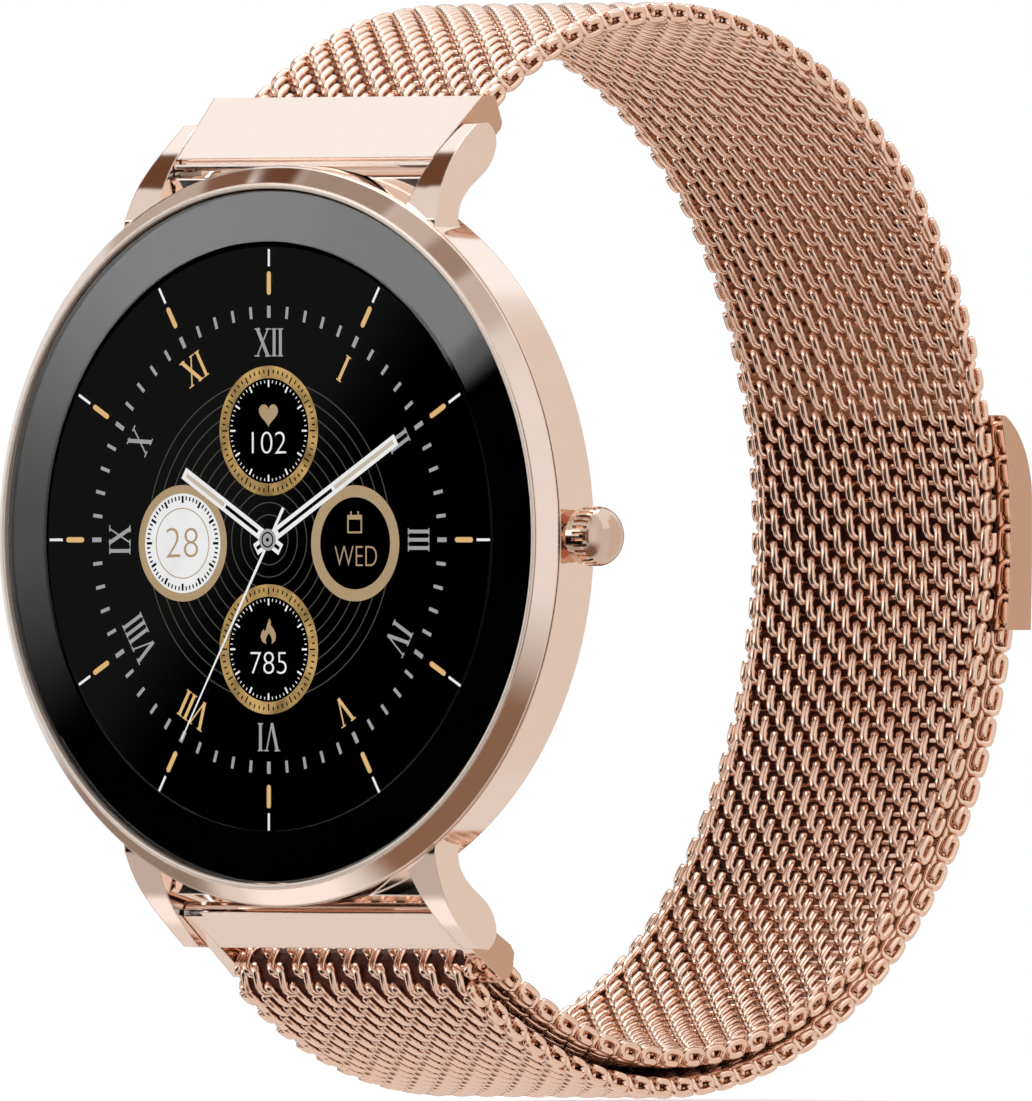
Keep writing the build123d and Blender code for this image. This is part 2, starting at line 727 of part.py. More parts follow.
def band_nodes():
    crest = 30.0
    top_bend = find_distance(lambda p: p[0] - BEND_DEPTH[0], 0, crest)
    back_bend = find_distance(lambda p: p[0] - BEND_DEPTH[1], crest, 60)
    cut = find_distance(lambda p: CUT_HEIGHT - p[1], crest, STRAP_LENGTH - 30)
    low_back = find_distance(lambda p: BEND_DEPTH[1] - p[0], cut + 5, STRAP_LENGTH)
    low_front = find_distance(lambda p: BEND_DEPTH[0] - p[0], cut + 5, STRAP_LENGTH)
    tail_front = find_distance(lambda p: p[0] - BEND_DEPTH[0], FOLD_END, FOLD_END + 30)
    tail_back = find_distance(lambda p: p[0] - BEND_DEPTH[1], FOLD_END, BAND_LENGTH)
    peel = [find_distance(lambda p, h=h: p[1] - h, FOLD_END + 40, BAND_LENGTH) for h in PEEL_HEIGHT]
    tail_end = BAND_LENGTH
    half = BAND_GAP / 2
    keep("upper_mesh_1", round_end(mesh_strip(0.05, top_bend), top_bend))
    strip = round_end(mesh_strip(top_bend, back_bend), back_bend)
    keep("upper_mesh_2", hollow_end(strip, top_bend))
    keep("upper_mesh_3", hollow_end(mesh_strip(back_bend, cut - half), back_bend))
    keep("lower_mesh_3", hollow_end(mesh_strip(cut + half, low_back), low_back))
    strip = round_end(mesh_strip(low_back, low_front), low_back)
    keep("lower_mesh_2", hollow_end(strip, low_front))
    strip = mesh_strip(low_front, tail_front - half)
    keep("lower_mesh_1", round_end(strip, low_front))
    keep("tail_mesh_1", mesh_strip(tail_front + half, tail_back - half))
    keep("tail_mesh_2", round_end(mesh_strip(tail_back + half, peel[0]), peel[0]))
    strip = round_end(mesh_strip(peel[0], peel[1]), peel[1])
    keep("tail_mesh_3", hollow_end(strip, peel[0]))
    keep("tail_mesh_4", hollow_end(mesh_strip(peel[1], tail_end), peel[1]))
    keep("clasp_shell", make_clasp_shell())
    keep("clasp_magnet", magnet_block(0.0))
    for label, place in (("top", top_bend), ("back", back_bend), ("cut", cut), ("low back", low_back),
                         ("low front", low_front), ("tail front", tail_front), ("tail back", tail_back),
                         ("peel 1", peel[0]), ("peel 2", peel[1]), ("end", tail_end)):
        depth, height, heading = path_place(BAND_ARCS, place)
        print(f"{label}: s={place:.3f} y={at_depth(depth):.3f} z={height:.3f} heading={heading:.1f}")
    print("fold centre", fold_centre())


case_nodes()
crown_nodes()
link_nodes()
band_nodes()
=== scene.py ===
"""A round rose gold smartwatch on a closed woven mesh band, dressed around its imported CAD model.

Lengths below are in millimetres, like the CAD, and are turned into metres when a mesh is made.
"""

import json
import math

import bmesh
import bpy
import numpy as np
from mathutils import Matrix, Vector


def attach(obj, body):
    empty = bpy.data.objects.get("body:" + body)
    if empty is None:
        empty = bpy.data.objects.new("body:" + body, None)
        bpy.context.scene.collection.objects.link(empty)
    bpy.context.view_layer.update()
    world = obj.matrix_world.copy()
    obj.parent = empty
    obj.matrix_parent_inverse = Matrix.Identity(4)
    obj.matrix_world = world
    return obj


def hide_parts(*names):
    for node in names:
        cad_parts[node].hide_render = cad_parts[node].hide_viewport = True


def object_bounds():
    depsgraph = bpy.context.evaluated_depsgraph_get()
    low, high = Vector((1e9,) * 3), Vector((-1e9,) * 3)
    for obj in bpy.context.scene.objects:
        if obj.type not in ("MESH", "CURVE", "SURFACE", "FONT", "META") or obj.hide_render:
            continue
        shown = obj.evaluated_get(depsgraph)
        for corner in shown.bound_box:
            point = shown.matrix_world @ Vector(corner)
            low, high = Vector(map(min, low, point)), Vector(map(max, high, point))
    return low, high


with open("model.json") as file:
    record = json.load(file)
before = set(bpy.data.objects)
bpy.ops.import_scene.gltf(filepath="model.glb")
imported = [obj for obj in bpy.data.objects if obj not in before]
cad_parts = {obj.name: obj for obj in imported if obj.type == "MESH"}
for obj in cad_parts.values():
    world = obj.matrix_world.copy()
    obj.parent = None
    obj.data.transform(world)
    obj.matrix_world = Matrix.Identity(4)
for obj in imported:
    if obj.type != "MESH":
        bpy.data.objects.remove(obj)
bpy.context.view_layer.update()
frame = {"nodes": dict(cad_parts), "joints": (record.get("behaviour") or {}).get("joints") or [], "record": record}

MM = 0.001
TINY = 1e-6
FULL_TURN = 2 * math.pi

# ---- sizes shared with the CAD ----
CASE_DEPTH = 9.0
# the depth, height and heading in degrees where the band's mid-line starts
BAND_START = (7.45, 23.08)
BAND_HEADING = 41.65
# the mid-line's arcs: a radius, and the angle it turns through
STRAP_ARCS = [(27.1, -52.6), (28.2, -55.2), (32.1, -64.3), (26.1, -88.4)]
FOLD_ARC = (1.2, 182.7)
TAIL_ARCS = [(29.0, 58.5), (29.75, 26.3), (32.4, 40.8)]
BAND_ARCS = [*STRAP_ARCS, FOLD_ARC, *TAIL_ARCS]
MESH_HALF = 8.9
# places on the band that have no joint of their own
BACK_Y = 44.8
STRAP_CUT_Z = 0.3
TAIL_FRONT_Z = -31.0
TAIL_BACK_Z = -23.15
SHELL_TOP_Z = 7.0
SEARCH_STEP = 0.02

# ---- the woven wire ----
ROW_STEP = 0.95
FIRST_COIL = 1.2
LAST_COIL_INSET = 0.95
COIL_PITCH = 1.9
COIL_OVERRUN = 0.8
ODD_COIL_INSET = 0.5
POINTS_PER_TURN = 16
WIRE_SIDES = 8
WIRE_R = 0.22
WIRE_HALF_WIDTH = 0.28
LOOP_HALF = 0.83
LOOP_RISE = 0.43
# a lower power makes the wave squarer
LOOP_POWER = 0.85
RISE_POWER = 0.45
RISE_WEIGHT = 1.6
END_RING_SHARE = 0.86
JOG_SHARPNESS = 0.93
ROD_R = 0.19

# ---- the weave's inside, with strips of painted shade along its mid-line ----
CORE_HALF = 8.2
CORE_HALF_THICK = 0.05
# the thicker strip of painted shade in the fold round the lower link
FOLD_SHADE_HALF_THICK = 0.3
CORE_STEP = 0.4
CORE_GAP = 0.02

# ---- the glass and its bezel ----
GLASS_R = 19.74
GLASS_BACK = 0.4
GLASS_EDGE = 0.1
GLASS_EDGE_DROP = 0.2
GLASS_SHARP = 2.5
MASK_GAP = 0.04
MASK_BACK = 1.1
BEZEL_GAP = 0.05
BEZEL_SHARP = 35.0
LIP_MIDDLE = 19.93
LIP_HALF = 0.13
LIP_RISE = 0.08
LIP_FOOT = 0.05
LIP_BACK = 0.3
LIP_STEPS = 10

# ---- the dial, measured from its own middle ----
DIAL_CENTRE = (-0.11, -0.2)
DISPLAY_EDGE_R = 16.78
ART_FRONT = 0.58
LAYER = 0.012
PLATE_THICK = LAYER * 0.6
HOUR_TICKS = (15.56, 16.54)
HOUR_BARS = (13.94, 15.28)
MINUTE_TICKS = (12.63, 13.31)
NUMERAL_R = 11.23
NUMERAL_HEIGHT = 1.6
FINE_RINGS = 12
FINE_RING_R = 1.42
FINE_RING_STEP = 0.7
FINE_RING_HALF = 0.03
TOP_DIAL = (0, 6.2)
BOTTOM_DIAL = (0, -6.23)
LEFT_DIAL = (-6.47, -0.2)
RIGHT_DIAL = (6.49, -0.2)
HAND_WIDTH = 0.7
HAND_TAIL = 1.1
HOUR_TIP = (-6.35, 3.81)
MINUTE_TIP = (9.59, 5.69)
LETTER_THINNING = -0.018

# ---- the crown ----
CROWN_DEPTH = 2.6
CROWN_R = 1.7
CROWN_COLLAR = 21.5
CROWN_COLLAR_INSET = 0.12
CROWN_START = 21.98
CROWN_DOME_START = 22.55
CROWN_GROOVE_END = 22.98
CROWN_END = 23.9
CROWN_TEETH = 30
CROWN_TOOTH_POINTS = 8
CROWN_GROOVE = 0.24
CROWN_GROOVE_SIDE = 0.85
CROWN_DOME_STEPS = 24
CROWN_SHARP = 30.0

# ---- the studio ----
FLOOR_R = 220.0
FLOOR_MIDDLE_Y = 15
FLOOR_GAP = 0.3
FLOOR_SIDES = 96
FLOOR_GLOW = 0.35

# ---- the camera ----
VIEW_AZIMUTH = 40.5
CAMERA_DISTANCE = 2500.0
AIM_RIGHT = 14.22
AIM_UP = -0.81
FRAME_HEIGHT = 62.628


# ---- small helpers ----
def link(obj):
    bpy.context.scene.collection.objects.link(obj)
    return obj


def mesh_piece(name, vertices, faces, material, smooth=True):
    """A new object from vertices in millimetres and lists of vertex numbers."""
    mesh = bpy.data.meshes.new(name)
    mesh.from_pydata([tuple(c * MM for c in v) for v in vertices], [], faces)
    mesh.polygons.foreach_set("use_smooth", [smooth] * len(mesh.polygons))
    mesh.materials.append(material)
    mesh.update()
    return link(bpy.data.objects.new(name, mesh))


def face_outward(piece):
    """Turns all the faces of a closed piece outward."""
    shape = bmesh.new()
    shape.from_mesh(piece.data)
    bmesh.ops.recalc_face_normals(shape, faces=shape.faces)
    shape.to_mesh(piece.data)
    shape.free()


def ring_faces(rings, sides, flipped=False):
    """Quads between neighbouring rings of vertices, numbered from zero."""
    faces = []
    for k in range(rings - 1):
        here = k * sides
        for i in range(sides):
            after = (i + 1) % sides
            quad = (here + i, here + after, here + sides + after, here + sides + i)
            faces.append((quad[0], *reversed(quad[1:])) if flipped else quad)
    return faces


def closed_faces(rings, sides, flipped=False):
    """Those quads, with a cap on each end to close the piece."""
    first = tuple(range(sides))
    last = tuple((rings - 1) * sides + i for i in first)
    if flipped:
        caps = [first, last[::-1]]
    else:
        caps = [first[::-1], last]
    return ring_faces(rings, sides, flipped) + caps


def ride_on(obj, body, slot_name, *replaced):
    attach(obj, body)
    if replaced:
        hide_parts(*replaced)
    return obj


# ---- materials ----
def new_material(name):
    material = bpy.data.materials.new(name)
    material.use_nodes = True
    tree = material.node_tree
    return material, tree, tree.nodes["Principled BSDF"]


def link_nodes(tree, out_socket, in_socket):
    tree.links.new(out_socket, in_socket)


def mix_in(tree, share, under, colour):
    """Lays a fixed colour over another colour socket, by a share, and returns the result."""
    mix = tree.nodes.new("ShaderNodeMix")
    mix.data_type = "RGBA"
    # the Mix node has a set of sockets for each data type: 6 and 7 are its colours A and B
    mix.inputs[7].default_value = (*colour, 1)
    link_nodes(tree, share, mix.inputs[0])
    link_nodes(tree, under, mix.inputs[6])
    return mix.outputs[2]


def noise_colour(tree, shader, colour, spread, scale, socket="Base Color"):
    """Drives a colour socket with a fine noise between two close shades."""
    coordinates = tree.nodes.new("ShaderNodeTexCoord")
    noise = tree.nodes.new("ShaderNodeTexNoise")
    noise.inputs["Scale"].default_value = scale
    noise.inputs["Detail"].default_value = 4.0
    ramp = tree.nodes.new("ShaderNodeValToRGB")
    ramp.color_ramp.elements[0].position = 0.3
    ramp.color_ramp.elements[1].position = 0.7
    ramp.color_ramp.elements[0].color = (*[c * (1 - spread) for c in colour], 1)
    ramp.color_ramp.elements[1].color = (*[min(1, c * (1 + spread)) for c in colour], 1)
    link_nodes(tree, coordinates.outputs["Object"], noise.inputs["Vector"])
    link_nodes(tree, noise.outputs["Fac"], ramp.inputs["Fac"])
    link_nodes(tree, ramp.outputs["Color"], shader.inputs[socket])
    return noise


def roughness_range(tree, shader, noise, low, high):
    spread = tree.nodes.new("ShaderNodeMapRange")
    spread.inputs["To Min"].default_value = low
    spread.inputs["To Max"].default_value = high
    link_nodes(tree, noise.outputs["Fac"], spread.inputs["Value"])
    link_nodes(tree, spread.outputs["Result"], shader.inputs["Roughness"])


def polished_rose_gold(name="polished_rose_gold", shaded_sides=False):
    """Polished plated steel: faint polishing haze in the roughness, and softened edges.

    The end links and the clasp get painted shade on their sides: faces that point nearly along X are given a
    deeper colour.
    """
    material, tree, shader = new_material(name)
    shader.inputs["Metallic"].default_value = 1.0
    noise = noise_colour(tree, shader, (0.955, 0.77, 0.665), 0.012, 900.0)
    roughness_range(tree, shader, noise, 0.05, 0.09)
    if shaded_sides:
        geometry = tree.nodes.new("ShaderNodeNewGeometry")
        parts = tree.nodes.new("ShaderNodeSeparateXYZ")
        size = tree.nodes.new("ShaderNodeMath")
        size.operation = "ABSOLUTE"
        # a face is a side where its direction is nearly along X
        mask = tree.nodes.new("ShaderNodeMapRange")
        mask.inputs["From Min"].default_value = 0.75
        mask.inputs["From Max"].default_value = 0.95
        link_nodes(tree, geometry.outputs["Normal"], parts.inputs[0])
        link_nodes(tree, parts.outputs["X"], size.inputs[0])
        link_nodes(tree, size.outputs[0], mask.inputs["Value"])
        gold = shader.inputs["Base Color"].links[0].from_socket
        # painted shade: a deeper colour mixed in on the side faces
        sides = mix_in(tree, mask.outputs["Result"], gold, (0.68, 0.43, 0.3))
        link_nodes(tree, sides, shader.inputs["Base Color"])
    edge = tree.nodes.new("ShaderNodeBevel")
    edge.samples = 4
    edge.inputs["Radius"].default_value = 0.13 * MM
    link_nodes(tree, edge.outputs["Normal"], shader.inputs["Normal"])
    return material


def add_grain(tree, shader, noise, strength):
    """Raises the noise as a fine bump."""
    grain = tree.nodes.new("ShaderNodeBump")
    grain.inputs["Strength"].default_value = strength
    grain.inputs["Distance"].default_value = 0.02 * MM
    link_nodes(tree, noise.outputs["Fac"], grain.inputs["Height"])
    link_nodes(tree, grain.outputs["Normal"], shader.inputs["Normal"])


def wire_rose_gold():
    """Drawn and plated wire: a little deeper in colour, with fine drawing marks."""
    material, tree, shader = new_material("wire_rose_gold")
    shader.inputs["Metallic"].default_value = 1.0
    noise = noise_colour(tree, shader, (0.98, 0.69, 0.545), 0.02, 2500.0)
    roughness_range(tree, shader, noise, 0.12, 0.22)
    add_grain(tree, shader, noise, 0.08)
    return material


def cover_glass():
    """Clear glass with a trace of haze."""
    material, tree, shader = new_material("cover_glass")
    shader.inputs["Transmission Weight"].default_value = 1.0
    shader.inputs["IOR"].default_value = 1.5
    noise = noise_colour(tree, shader, (0.99, 0.99, 0.99), 0.005, 300.0)
    roughness_range(tree, shader, noise, 0.0, 0.004)
    return material


def glowing(name, colour, spread=0.04):
    """A lit part of the display: dark in itself, with an even glow."""
    material, tree, shader = new_material(name)
    shader.inputs["Base Color"].default_value = (0, 0, 0, 1)
    shader.inputs["Roughness"].default_value = 1.0
    shader.inputs["Specular IOR Level"].default_value = 0.0
    shader.inputs["Emission Strength"].default_value = 1.0
    noise_colour(tree, shader, colour, spread, 600.0, "Emission Color")
    return material


def plain(name, colour, low, high, spread=0.08, metallic=0.0, scale=700.0, bump=0.0):
    """A moulded, painted or stamped finish with a fine grain."""
    material, tree, shader = new_material(name)
    shader.inputs["Metallic"].default_value = metallic
    noise = noise_colour(tree, shader, colour, spread, scale)
    roughness_range(tree, shader, noise, low, high)
    if bump:
        add_grain(tree, shader, noise, bump)
    return material


def display_black():
    """The unlit display and its printed border, with no shine of their own under the glass."""
    material, tree, shader = new_material("display_black")
    noise = noise_colour(tree, shader, (0.0015, 0.0015, 0.0018), 0.3, 500.0)
    roughness_range(tree, shader, noise, 0.8, 0.9)
    shader.inputs["Specular IOR Level"].default_value = 0.0
    return material


def painted_glass_reflection():
    """Painted reflection of the glass: a faint grey glow on the display, fading out across a slanting line near
    the dial's middle.
    """
    material, tree, shader = new_material("painted_glass_reflection")
    noise = noise_colour(tree, shader, (0.0, 0.0, 0.0), 0.0, 300.0)
    roughness_range(tree, shader, noise, 0.4, 0.5)
    shader.inputs["Specular IOR Level"].default_value = 0.0
    shader.inputs["Emission Color"].default_value = (0.0068, 0.0068, 0.0066, 1)
    coordinates = tree.nodes.new("ShaderNodeTexCoord")
    across = tree.nodes.new("ShaderNodeVectorMath")
    across.operation = "DOT_PRODUCT"
    across.inputs[1].default_value = (-0.74, 0.0, 0.67)
    link_nodes(tree, coordinates.outputs["Object"], across.inputs[0])
    fade = tree.nodes.new("ShaderNodeMapRange")
    fade.interpolation_type = "SMOOTHSTEP"
    fade.inputs["From Min"].default_value = -2.5 * MM
    fade.inputs["From Max"].default_value = 4.0 * MM
    link_nodes(tree, across.outputs["Value"], fade.inputs["Value"])
    link_nodes(tree, fade.outputs["Result"], shader.inputs["Emission Strength"])
    return material


POLISHED = polished_rose_gold()
WIRE = wire_rose_gold()
# painted shade: the crown's rose gold is given a deeper colour than the case's, for the darker tones of its dome
SHADED_CROWN_METAL = plain(
    "crown_metal_painted_shade", (0.74, 0.54, 0.43), 0.1, 0.16, spread=0.02, metallic=1.0)
LIP_SATIN = plain(
    "lip_satin", (1.0, 0.88, 0.79), 0.5, 0.58, spread=0.02, metallic=1.0)
# polished rose gold with painted shade on its side faces
LINK_METAL = polished_rose_gold("polished_shaded_sides", shaded_sides=True)
# painted shade: one copper in three shades, pale to deep, for the strips inside the weave
PAINTED_SHADE_PALE = plain(
    "weave_painted_shade_pale", (1.0, 0.5, 0.35), 0.3, 0.5, spread=0.5, metallic=0.8, scale=1800.0)
PAINTED_SHADE_MIDDLE = plain(
    "weave_painted_shade_middle", (0.32, 0.13, 0.08), 0.35, 0.55, spread=0.6, metallic=0.8, scale=1800.0)
PAINTED_SHADE_DEEP = plain(
    "weave_painted_shade_deep", (0.09, 0.025, 0.015), 0.5, 0.7, spread=0.6, metallic=0.7, scale=1800.0)
GLASS = cover_glass()
STEEL = plain("plain_steel", (0.58, 0.57, 0.56), 0.2, 0.3, spread=0.04, metallic=1.0)
FINISHES = {
    "rose_gold_case": POLISHED,
    "rose_gold_mesh": WIRE,
    "crystal_glass": GLASS,
    "sensor_glass": plain("sensor_glass", (0.012, 0.012, 0.014), 0.03, 0.07),
    "display": display_black(),
    "black_plastic": plain("black_plastic", (0.02, 0.02, 0.02), 0.4, 0.55, bump=0.2),
    "back_plastic": plain("back_plastic", (0.035, 0.032, 0.032), 0.25, 0.4, bump=0.15),
    "board": plain("board_green", (0.01, 0.09, 0.03), 0.35, 0.5),
    "chip": plain("chip_black", (0.02, 0.02, 0.022), 0.45, 0.6, bump=0.2),
    "shield": plain("shield_tin", (0.6, 0.6, 0.58), 0.25, 0.35, metallic=1.0),
    "pouch": plain("pouch_foil", (0.4, 0.41, 0.43), 0.3, 0.45, metallic=0.6),
    "steel": STEEL,
    # the charging contacts share the steel's finish
    "gold_contact": STEEL,
    "flex": plain("flex_amber", (0.4, 0.12, 0.02), 0.3, 0.4),
    "rubber": plain("rubber_black", (0.015, 0.015, 0.015), 0.7, 0.85, bump=0.3),
    "magnet": plain("magnet_nickel", (0.62, 0.6, 0.56), 0.2, 0.3, metallic=1.0),
}
SHADED_SIDE_PARTS = ("upper_end_link", "lower_end_link", "clasp_shell")


# ---- the band's mid-line, as in the CAD ----
def band_place(distance):
    """Depth, height and heading of the mid-line at a distance from its start."""
    depth, height = BAND_START
    heading = math.radians(BAND_HEADING)
    for radius, sweep in BAND_ARCS:
        turn = math.copysign(1, sweep)
        step = min(distance, radius * abs(math.radians(sweep)))
        after = heading + turn * step / radius
        depth += turn * radius * (math.sin(after) - math.sin(heading))
        height -= turn * radius * (math.cos(after) - math.cos(heading))
        heading = after
        distance -= step
    return depth, height, heading


def arcs_length(arcs):
    return sum(radius * abs(math.radians(sweep)) for radius, sweep in arcs)


BAND_LENGTH = arcs_length(BAND_ARCS)


def nearest_distance(y, z, low, high):
    """The distance along the band, between two bounds, that is nearest to a place (y, z)."""
    def off(distance):
        depth, height, _ = band_place(distance)
        return math.hypot(depth - CASE_DEPTH - y, height - z)

    return min(np.arange(low, high, SEARCH_STEP), key=off)


# ---- the woven band ----
def loop_wave(values, power):
    """A cosine or sine made squarer, so that the wire's loops have long straight sides."""
    return np.sign(values) * np.abs(values) ** power


def coil_line(odd):
    """Points of one flattened wire coil: across the band, along it, and out of its face."""
    edge = MESH_HALF - WIRE_HALF_WIDTH - (ODD_COIL_INSET if odd else 0.0)
    shift = COIL_PITCH / 2 if odd else 0.0
    reach = edge + COIL_PITCH * COIL_OVERRUN
    first = (-reach - shift) / COIL_PITCH * FULL_TURN
    last = (reach - shift) / COIL_PITCH * FULL_TURN
    count = int((last - first) / FULL_TURN * POINTS_PER_TURN) + 1
    angle = np.linspace(first, last, count)
    across = shift + COIL_PITCH / FULL_TURN * (angle + JOG_SHARPNESS / 2 * np.sin(2 * angle))
    across = np.clip(across, -edge, edge)
    along = LOOP_HALF * loop_wave(np.cos(angle), LOOP_POWER)
    rise = LOOP_RISE * loop_wave(np.sin(angle), RISE_POWER)
    share = np.where(np.abs(across) >= edge, END_RING_SHARE, 1.0)
    return np.stack([across, along * share, rise * share], axis=1)


def coil_tube(points):
    """A flattened tube along a coil's points: its vertices and its faces."""
    tangent = np.gradient(points, axis=0)
    tangent /= np.linalg.norm(tangent, axis=1, keepdims=True)
    outward = points * np.array([0.0, 1.0, RISE_WEIGHT])
    outward -= tangent * np.sum(outward * tangent, axis=1, keepdims=True)
    outward /= np.linalg.norm(outward, axis=1, keepdims=True)
    sideways = np.cross(tangent, outward)
    turn = np.arange(WIRE_SIDES) / WIRE_SIDES * FULL_TURN
    ring = WIRE_R * outward[:, None, :] * np.cos(turn)[None, :, None]
    ring = ring + WIRE_HALF_WIDTH * sideways[:, None, :] * np.sin(turn)[None, :, None]
    vertices = (points[:, None, :] + ring).reshape(-1, 3)
    return vertices, closed_faces(len(points), WIRE_SIDES, flipped=True)


def cross_wire():
    """A straight round wire across the band: its vertices and its faces."""
    vertices = []
    for x in (-CORE_HALF, CORE_HALF):
        for i in range(WIRE_SIDES):
            angle = FULL_TURN * i / WIRE_SIDES
            vertices.append((x, ROD_R * math.cos(angle), ROD_R * math.sin(angle)))
    return np.array(vertices), closed_faces(2, WIRE_SIDES)


def placed(vertices, distance):
    """Vertices moved from a coil's own frame to their place on the band."""
    depth, height, heading = band_place(distance)
    cos, sin = math.cos(heading), math.sin(heading)
    x, along, rise = vertices.T
    y = depth - CASE_DEPTH + along * cos - rise * sin
    z = height + along * sin + rise * cos
    return np.stack([x, y, z], axis=1)


COILS = [coil_tube(coil_line(odd)) for odd in (False, True)]
CROSS_WIRE = cross_wire()


def weave(name, body, node, start, end):
    """The coils and cross wires between two distances, as one piece that replaces a CAD strip."""
    wires = []
    number = max(math.ceil((start - FIRST_COIL) / ROW_STEP - TINY), 0)
    while FIRST_COIL + number * ROW_STEP < end - TINY:
        distance = FIRST_COIL + number * ROW_STEP
        wires.append((COILS[number % 2], distance))
        if distance + ROW_STEP / 2 < end:
            wires.append((CROSS_WIRE, distance + ROW_STEP / 2))
        number += 1
    vertices, faces = [], []
    offset = 0
    for (wire_vertices, wire_faces), distance in wires:
        vertices.append(placed(wire_vertices, distance))
        faces.extend(tuple(i + offset for i in face) for face in wire_faces)
        offset += len(wire_vertices)
    piece = mesh_piece(name, np.concatenate(vertices).tolist(), faces, WIRE)
    return ride_on(piece, body, "rose_gold_mesh", node)


def core(name, body, start, end, material, half_thick=CORE_HALF_THICK):
    """Painted shade inside the weave: a thin strip along the band's mid-line, in a pale, middle or deep shade."""
    steps = max(2, int((end - start) / CORE_STEP))
    corners = ((-CORE_HALF, 1), (CORE_HALF, 1), (CORE_HALF, -1), (-CORE_HALF, -1))
    vertices = []
    for k in range(steps + 1):
        depth, height, heading = band_place(start + (end - start) * k / steps)
        for x, side in corners:
            away = side * half_thick
            vertices.append((x, depth - CASE_DEPTH - away * math.sin(heading),
                             height + away * math.cos(heading)))
    faces = closed_faces(steps + 1, len(corners))
    piece = mesh_piece(name, vertices, faces, material, smooth=False)
    return ride_on(piece, body, "rose_gold_mesh")


def joint_place(name):
    x, y, z = next(j for j in frame["joints"] if j["name"] == name)["pos_m"]
    return y / MM, z / MM


def make_band():
    """Weaves every strip of the band, from the upper link round to the clasp."""
    strap = arcs_length(STRAP_ARCS)
    fold_end = arcs_length([*STRAP_ARCS, FOLD_ARC])
    front_y = joint_place("lower_strap_fold_1")[0]
    back_y = joint_place("lower_strap_fold_2")[0]
    # each place on the band, looked for between two distances
    top = nearest_distance(*joint_place("upper_strap_fold_1"), 0, 30)
    back = nearest_distance(*joint_place("upper_strap_fold_2"), 30, 60)
    cut = nearest_distance(BACK_Y, STRAP_CUT_Z, 55, 75)
    shell_top = nearest_distance(BACK_Y, SHELL_TOP_Z, back, cut)
    low_back = nearest_distance(*joint_place("lower_strap_fold_2"), 75, 100)
    low_front = nearest_distance(*joint_place("lower_strap_fold_1"), 100, strap)
    tail_front = nearest_distance(front_y, TAIL_FRONT_Z, fold_end, fold_end + 25)
    tail_back = nearest_distance(back_y, TAIL_BACK_Z, fold_end + 30, BAND_LENGTH - 10)
    peel_one = nearest_distance(*joint_place("clasp_lift"), fold_end + 30, BAND_LENGTH)
    peel_two = nearest_distance(*joint_place("clasp_turn"), fold_end + 30, BAND_LENGTH)
    tail_end = BAND_LENGTH - LAST_COIL_INSET
    # the last column is the painted shade of the strip inside each stretch
    stretches = [
        ("upper_link", "upper_mesh_1", 0.0, top, PAINTED_SHADE_MIDDLE),
        ("upper_strap_mid", "upper_mesh_2", top, back, PAINTED_SHADE_PALE),
        ("upper_strap_back", "upper_mesh_3", back, cut, PAINTED_SHADE_PALE),
        ("lower_strap_back", "lower_mesh_3", cut, low_back, PAINTED_SHADE_DEEP),
        ("lower_strap_mid", "lower_mesh_2", low_back, low_front, PAINTED_SHADE_MIDDLE),
        ("lower_link", "lower_mesh_1", low_front, tail_front, PAINTED_SHADE_DEEP),
        ("lower_strap_mid", "tail_mesh_1", tail_front, tail_back, PAINTED_SHADE_MIDDLE),
        ("lower_strap_back", "tail_mesh_2", tail_back, peel_one, PAINTED_SHADE_MIDDLE),
        ("tail_peel", "tail_mesh_3", peel_one, peel_two, PAINTED_SHADE_DEEP),
        ("clasp", "tail_mesh_4", peel_two, tail_end, PAINTED_SHADE_DEEP),
    ]
    for body, node, start, end, shade in stretches:
        weave("woven_" + node, body, node, start, end)
        # the strip under the clasp's shell gets deeper painted shade, so it is a piece of its own
        core_end = shell_top if node == "upper_mesh_3" else end - CORE_GAP
        # a thicker strip of painted shade lines the fold round the lower link
        half_thick = FOLD_SHADE_HALF_THICK if node == "lower_mesh_1" else CORE_HALF_THICK
        core_start = max(start, FIRST_COIL) + CORE_GAP
        core("core_" + node, body, core_start, core_end, shade, half_thick)
    # painted shade: the deep strip under the clasp's shell
    core("core_before_shell", "upper_strap_back", shell_top, cut - CORE_GAP, PAINTED_SHADE_DEEP)


# ---- the bezel and the glass ----
def lathe(name, profile, material, sharp, sides=256):
    """A solid turned round the dial's axis from (radius, depth) points; a zero radius is a pole.

    A profile that starts at a pole ends at one. Any other profile is closed back to its start.
    """
    vertices, faces, rings = [], [], []
    for radius, depth in profile:
        if radius == 0:
            rings.append([len(vertices)])
            vertices.append((0, depth - CASE_DEPTH, 0))
            continue
        rings.append(list(range(len(vertices), len(vertices) + sides)))
        for i in range(sides):
            angle = FULL_TURN * i / sides
            x, z = radius * math.cos(angle), radius * math.sin(angle)
            vertices.append((x, depth - CASE_DEPTH, z))
    if profile[0][0] > 0:
        rings.append(rings[0])
    for before, after in zip(rings, rings[1:]):
        for i in range(sides):
            quad = (before[i % len(before)], before[(i + 1) % len(before)],
                    after[(i + 1) % len(after)], after[i % len(after)])
            faces.append(tuple(dict.fromkeys(quad)))
    piece = mesh_piece(name, vertices, faces, material)
    face_outward(piece)
    piece.data.set_sharp_from_angle(angle=math.radians(sharp))
    return piece


